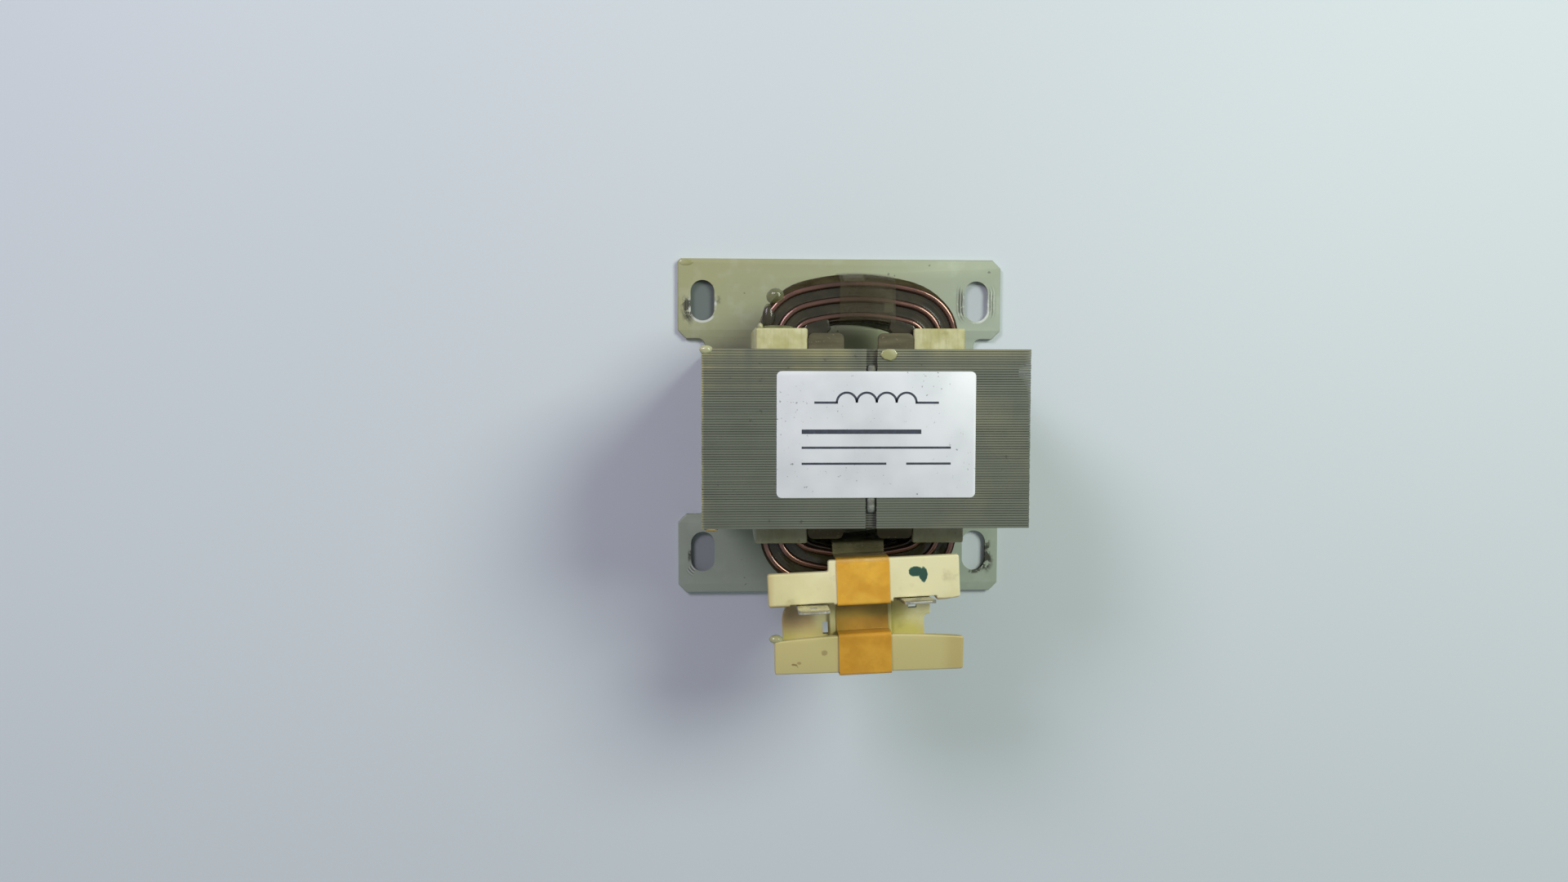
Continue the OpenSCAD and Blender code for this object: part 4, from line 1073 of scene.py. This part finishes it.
# leads, sleeves and solder: the leads' starts on the coil, then the sizes of both sides
lead = {"left": (-16.778, -29.066), "right": (9.072, -22.758), "wire": 1.5, "bend": 3.0, "low": 9.1,
        "start": 13.284, "end": 44.15, "y": -1.5, "out": 2.2, "tone": 0.7, "sides": 14, "bendPoints": 10,
        "levelPoints": 6, "risePoints": 14}
sleeve = {"wide": 2.6, "end": 35.3, "rows": 150, "sides": 32, "strands": 8, "twist": 5.0, "sink": 0.05,
          "weave": 0.045, "mouth": 0.82}
solder = {"low": 36.4, "high": 40.4, "radius": 1.5, "flat": 0.79, "full": 0.6, "swell": 0.06,
          "swellSize": 1.2, "least": 0.02, "seed": 51}


def tailX(word, side):
    # the lead goes up outside the blade's tail
    return blade[word][0] + side * lead["out"]


def leadPath(word, side):
    # down from the coil, a quarter bend, level under it, a quarter bend and up to the tail
    a, b = np.array(lead[word]), toHolder((tailX(word, side), lead["y"]))
    run = np.linalg.norm(b - a)
    r, low, level, rise = lead["bend"], lead["low"], lead["levelPoints"], lead["risePoints"]
    q = np.linspace(0, np.pi / 2, lead["bendPoints"])
    s = np.concatenate([[0], r - r * np.cos(q), np.linspace(r, run - r, level + 2)[1:-1],
                        run - r + r * np.sin(q), np.full(rise, run)])
    z = np.concatenate([[lead["start"]], low + r - r * np.sin(q), np.full(level, low),
                        low + r - r * np.cos(q), np.linspace(low + r, lead["end"], rise + 1)[1:]])
    along = (b - a) / run
    return np.concatenate([a + s[:, None] * along, z[:, None]], 1), np.array([along[1], -along[0], 0.0])


def sleeveShell(path, normal):
    # braided tube from the first bend on: two crossing helices swell its radius, its mouths close on the wire
    path = path[lead["bendPoints"]:]
    path = path[path[:, 2] < sleeve["end"]]
    path = np.concatenate([path, [np.append(path[-1, :2], sleeve["end"])]])
    run, sides = runOf(path), sleeve["sides"]
    s = np.linspace(0, run[-1], sleeve["rows"])
    middle = pointsAt(s, run, path)[:, None]
    tube = planarTube(middle[:, 0], normal, 1.0, sides, False)[0].reshape(-1, sides, 3)
    strands, twist = sleeve["strands"] * around(sides), s[:, None] * sleeve["twist"]
    weave = np.sin(strands + twist) * np.sin(strands - twist)
    r = sleeve["wide"] / 2 - sleeve["sink"] + sleeve["weave"] * weave
    outer = middle + (tube - middle) * r[..., None]
    mouths = middle + (tube - middle) * sleeve["mouth"]
    tone = np.pad(0.5 + 0.5 * weave, ((1, 1), (0, 0)))
    return closedRings(np.concatenate([mouths[:1], outer, mouths[-1:]])), {"braid": tone.ravel()}


def solderShell(x0, rows=25, sides=24):
    # lump of revolution round the lead, bulged by waves and held off behind the tail's face
    t, a = np.linspace(0, np.pi, rows), around(sides)
    z = (solder["low"] + solder["high"]) / 2 - np.cos(t) * (solder["high"] - solder["low"]) / 2
    r = solder["radius"] * np.maximum(np.sin(t), solder["least"])[:, None] ** solder["full"]
    x, y = r * np.cos(a), np.minimum(r * np.sin(a), solder["flat"])
    p = np.stack([x0 + x, lead["y"] + y, np.broadcast_to(z[:, None], x.shape)], -1)
    swell = 1 + solder["swell"] * waves(p, solder["swellSize"], solder["seed"])
    p[..., 0] = x0 + x * np.minimum(swell, 1.0)
    return closedRings(toHolder(p))


for word, side in leftRight:
    path, normal = leadPath(word, side)
    wire = planarTube(path, normal, lead["wire"] / 2, lead["sides"], False)
    crest = {"crest": np.full(len(wire[0]), lead["tone"])}
    dress("lead_" + word, "wire", [wire], "wire", "enamelled_wire", sharp=60, tones=crest)
    shell, tones = sleeveShell(path, normal)
    dress("sleeve_" + word, "braid", [shell], "sleeving", "sleeving", sharp=60, tones=tones)
    dress("solder_" + word, "joint", [solderShell(tailX(word, side))], "solder", "solder", sharp=60)
print("leads done")

# tapes: each loop is the section inside the tape, in radius or Y and in Z
tape = {"thick": 0.2, "dents": 0.05, "dentSize": 4.0, "step": 0.6, "centre": -9.744,
        "coilWidth": (-4.25, 7.45), "coilRound": 0.6, "coilSeed": 61,
        "coilLoop": ((24.25, 13.284), (34.486, 13.284), (34.486, 37.0), (33.986, 41.0), (32.786, 44.316),
                     (24.25, 44.316)),
        "tieWidth": (-5.7, 5.2), "tieRound": 0.35, "tieSeed": 62,
        "tieLoop": ((-0.5, 13.284), (11.63, 13.284), (11.63, 44.316), (9.25, 44.316), (9.25, 52.35),
                    (-0.05, 52.35), (-0.05, 47.35), (-6.5, 47.35), (-6.5, 51.75), (-15.0, 50.5),
                    (-15.0, 44.25))}


def tapeShell(kind, place, cols=15):
    # closed band: a rounded loop and its outward copy, carried across the width, joined at both edges
    loop, radius = tape[kind + "Loop"], tape[kind + "Round"]
    inner, outer = (roundedLoop(loop, radius, inset, 4) for inset in (0.0, -tape["thick"]))
    inner, outer = (np.concatenate([p, p[:1]]) for p in (inner, outer))
    run = runOf(inner)
    places = np.unique(np.concatenate([run[:-1], np.arange(0, run[-1], tape["step"])]))
    inner, outer = (pointsAt(places, run, p)[:, None] for p in (inner, outer))
    n = len(places)
    x = np.broadcast_to(np.linspace(*tape[kind + "Width"], cols)[None, :, None], (n, cols, 1))
    flat = np.concatenate([x, np.broadcast_to(inner, (n, cols, 2))], 2)
    dent = tape["dents"] * (0.5 + 0.5 * waves(flat, tape["dentSize"], tape[kind + "Seed"]))[..., None]
    move = dent * (outer - inner) / tape["thick"]
    points = np.concatenate([np.concatenate([x, p + move], 2).reshape(-1, 3) for p in (inner, outer)])
    m = n * cols
    here = np.arange(n) * cols
    after = np.roll(here, -1)
    faces = [gridFaces(n, cols, True, False), gridFaces(n, cols, True, False, m)[:, ::-1]]
    for c, flip in ((0, 1), (cols - 1, -1)):
        faces.append((np.stack([here, after, after + m, here + m], 1) + c)[:, ::flip])
    return place(points), faces


def bentToCoil(p):
    # X stays, the radius becomes Y on the outer arc
    y = tape["centre"] + np.sqrt((p[:, 1] - tape["centre"]) ** 2 - p[:, 0] ** 2)
    return np.stack([p[:, 0], y, p[:, 2]], 1)


dress("coil_tape", "band", [tapeShell("coil", bentToCoil)], "amber", "coil_tape", sharp=50)
dress("terminal_tape", "band", [tapeShell("tie", toHolder)], "yellow", "terminal_tape", sharp=50)
print("tapes done")

# label, and its marks: rules by left, right, place in Y and width
label = {"x": 1.9, "y": 0.9, "half": 20.0, "depth": 12.65, "corner": 1.0, "thick": 0.12, "lowEdge": 0.01,
         "edge": 0.04}
marks = {"line": 0.45, "bump": 2.0, "bumps": 4, "symbolY": 6.4, "lead": 4.5, "lift": 0.012,
         "rules": ((-15.0, 9.0, 0.6, 0.9), (-15.0, 15.0, -2.6, 0.45), (-15.0, 2.0, -5.8, 0.45),
                   (6.0, 15.0, -5.8, 0.45))}


def labelShell():
    # thin slab with round corners
    x, y, w, d = label["x"], label["y"], label["half"], label["depth"]
    profile = edgeProfile(core["top"], core["top"] + label["thick"], label["lowEdge"], label["edge"], 2)
    return slab(boxCorners(x - w, y - d, x + w, y + d), label["corner"], profile)


def archRibbon(cx, cy, r, width, z, steps=17):
    # flat band between two half circles
    a = np.linspace(0, np.pi, steps)
    rings = [lifted(np.stack([cx + q * np.cos(a), cy + q * np.sin(a)], 1), z)
             for q in (r - width / 2, r + width / 2)]
    return np.concatenate(rings), [gridFaces(2, steps, False, False)[:, ::-1]]


def barRibbon(x0, x1, cy, width, z):
    # flat rectangle
    return lifted(boxCorners(x0, cy - width / 2, x1, cy + width / 2), z), [np.arange(4)[None, :]]


def markShells():
    # coil symbol of half circles with two leads, above plain rules
    x, y, line, bump = label["x"], label["y"] + marks["symbolY"], marks["line"], marks["bump"]
    z = core["top"] + label["thick"] + marks["lift"]
    half, far = marks["bumps"] * bump, marks["bumps"] * bump + marks["lead"]
    shells = [archRibbon(x - half + (2 * k + 1) * bump, y, bump, line, z) for k in range(marks["bumps"])]
    for left, right in ((-far, line / 2 - half), (half - line / 2, far)):
        shells.append(barRibbon(x + left, x + right, y, line, z))
    for left, right, rise, width in marks["rules"]:
        shells.append(barRibbon(x + left, x + right, label["y"] + rise, width, z))
    return shells


dress("rating_label", "film", [labelShell()], "label", "label_film")
addPiece("rating_label_marks", markShells(), "print", "label_film")
print("label done")

# varnish drops: middle, half sizes, length of the tail and finish
drops = {"core_rear": ((-32.2, 17.8, 57.2), (1.3, 0.85, 0.65), 0.4, "drop"),
         "core_front": ((-31.2, -18.05, 56.9), (1.35, 0.4, 0.55), 1.2, "gold"),
         "plate": ((-37.4, 39.9, 1.42), (1.7, 0.75, 0.28), 0.0, "drop"),
         "strip": ((-20.9, 22.75, 45.6), (0.55, 0.75, 0.6), 0.8, "drop"),
         "coil": ((-17.8, 29.15, 43.5), (2.0, 1.85, 1.5), 1.6, "sac"),
         "coil_low": ((-19.3, 26.3, 42.8), (0.95, 1.5, 1.2), 2.4, "sac"),
         "strip_edge": ((-17.4, 22.7, 44.75), (3.3, 0.45, 0.5), 0.6, "sac"),
         "shoulder": ((-19.3, 24.5, 43.75), (1.3, 2.5, 0.75), 0.3, "film"),
         "holder": ((-17.85, -41.75, 50.75), (1.45, 0.85, 0.9), 0.5, "drop")}
dropForm = {"rows": 17, "sides": 28, "swell": 0.16, "swellSize": 0.8, "least": 0.02, "seed": 70}


def dropShell(middle, half, tail, seed):
    # ellipsoid whose radius swells and shrinks with smooth waves; its lower half is drawn out into a tail
    t = np.linspace(-np.pi / 2, np.pi / 2, dropForm["rows"])[:, None]
    a = around(dropForm["sides"])
    r = np.maximum(np.cos(t), dropForm["least"])
    ball = np.stack([r * np.cos(a), r * np.sin(a), np.broadcast_to(np.sin(t), (len(t), len(a)))], -1)
    ball = ball * (1 + dropForm["swell"] * waves(ball, dropForm["swellSize"], seed))[..., None]
    ball[..., 2] *= 1 + tail * (ball[..., 2] < 0)
    return closedRings(np.asarray(middle) + ball * np.asarray(half))


for k, (name, (middle, half, tail, finish)) in enumerate(drops.items()):
    shell = dropShell(middle, half, tail, dropForm["seed"] + k)
    addPiece("varnish_drop_" + name, [shell], finish, "coil_tape", sharp=80)

# dark slabs in the film's finish that fill and darken the corners between the first layer and the spacer's
# tongues
pool = {"low": 42.9, "high": 44.2, "round": 0.6, "edge": 0.4,
        "outline": ((6.1, 22.3), (7.2, 21.0), (11.2, 20.4), (12.6, 21.6), (11.4, 23.3), (8.8, 24.2),
                    (6.5, 24.6))}
for word, side in leftRight:
    corners = np.array(pool["outline"])[::side] * np.array([side, 1])
    shell = slab(corners, pool["round"], edgeProfile(pool["low"], pool["high"], pool["edge"], pool["edge"]))
    addPiece("winding_pool_" + word, [shell], "film", "enamelled_wire", sharp=50)

# loose flake on the core's top
flake = {"at": (4.25, 16.8), "low": 57.35, "high": 57.85, "round": 0.3, "lowEdge": 0.05, "edge": 0.3,
         "outline": ((-1.8, 0.0), (-1.0, -0.85), (0.4, -1.2), (1.35, -0.75), (1.8, 0.3), (1.15, 1.15),
                     (-0.25, 1.2), (-1.3, 0.85))}
shell = slab(np.array(flake["outline"]) + flake["at"], flake["round"],
             edgeProfile(flake["low"], flake["high"], flake["lowEdge"], flake["edge"]))
addPiece("varnish_flake", [shell], "drop", "coil_tape", sharp=40)
print("drops done:", len(drops))


# floor, light, camera
def floorFinish():
    look = {"light": srgb(207, 215, 219), "shade": srgb(202, 210, 215), "dull": srgb(98, 107, 104),
            "glow": srgb(200, 208, 211)}
    f = Finish("floor", Roughness=0.6, Emission_Color=look["glow"])
    x, y, _ = f.axes()
    base = f.mix(f.span(f.noise(2.2, 2), 0.35, 0.7), look["light"], look["shade"])
    # painted shadow: a dark patch under each ear shows through its slot, darkest at the rear left, where the
    # plate keeps light off the floor
    edge = fromSlot(f, f.size(x), f.size(y), 1, 1)[2]
    dull = f.plus(f.span(x, 20.0, -20.0, 0.0, 0.7), f.span(y, -20.0, 20.0, 0.0, 0.3))
    base = f.over(base, look["dull"], dull, f.span(edge, 1.2, 0.6))
    # far out it is as light as the sky, for what sees it, and lights nothing itself
    far = f.span(f.hypot(x, y), 300.0, 1100.0, 0.0, 0.62)
    f.set(Base_Color=base, Emission_Strength=f.times(far, f.rays()))
    return f.mat


floorHalf = 3000.0
floorShell = (lifted(boxCorners(-floorHalf, -floorHalf, floorHalf, floorHalf), 0.0), [np.arange(4)[None, :]])
floor = linked("floor", meshOf("floor", [floorShell], floorFinish()))

sky = {"colour": srgb(232, 238, 244), "light": 0.25, "seen": 0.72}      # strength as light, and as backdrop
world = bpy.data.worlds.new("studio")
bpy.context.scene.world = world
world.use_nodes = True
backdrop = Graph(world.node_tree)
background = world.node_tree.nodes["Background"].inputs
backdrop.put(sky["colour"], background["Color"])
backdrop.put(backdrop.span(backdrop.rays(), 0.0, 1.0, sky["light"], sky["seen"]), background["Strength"])

# place in metres, size, power and colour; each lamp looks at the origin
lamps = {"key": ((0.42, 0.3, 0.62), 0.36, 4.0, srgb(246, 255, 240)),
         "fill": ((-0.4, 0.42, 0.6), 0.3, 2.7, srgb(246, 234, 255))}
for name, (place, size, power, colour) in lamps.items():
    lamp = bpy.data.lights.new(name, "AREA")
    lamp.shape, lamp.size, lamp.energy, lamp.color = "DISK", size, power, colour[:3]
    aim = -unit(np.array(place))
    lampObject = linked(name, lamp)
    lampObject.location = place
    lampObject.rotation_euler = (math.acos(-aim[2]), 0, math.atan2(-aim[0], aim[1]))

view = {"place": (-0.0296, 0.0135, 0.3007), "turn": (-3.26, -3.05, 0.12), "lens": 28.125, "sensor": 36.0,
        "near": 0.01}
camera = bpy.data.cameras.new("camera")
camera.lens, camera.sensor_width, camera.clip_start = view["lens"], view["sensor"], view["near"]
cameraObject = linked("camera", camera)
cameraObject.location = view["place"]
cameraObject.rotation_euler = tuple(math.radians(v) for v in view["turn"])
bpy.context.scene.camera = cameraObject
bpy.context.scene.view_settings.view_transform = "Standard"
print("stage set")
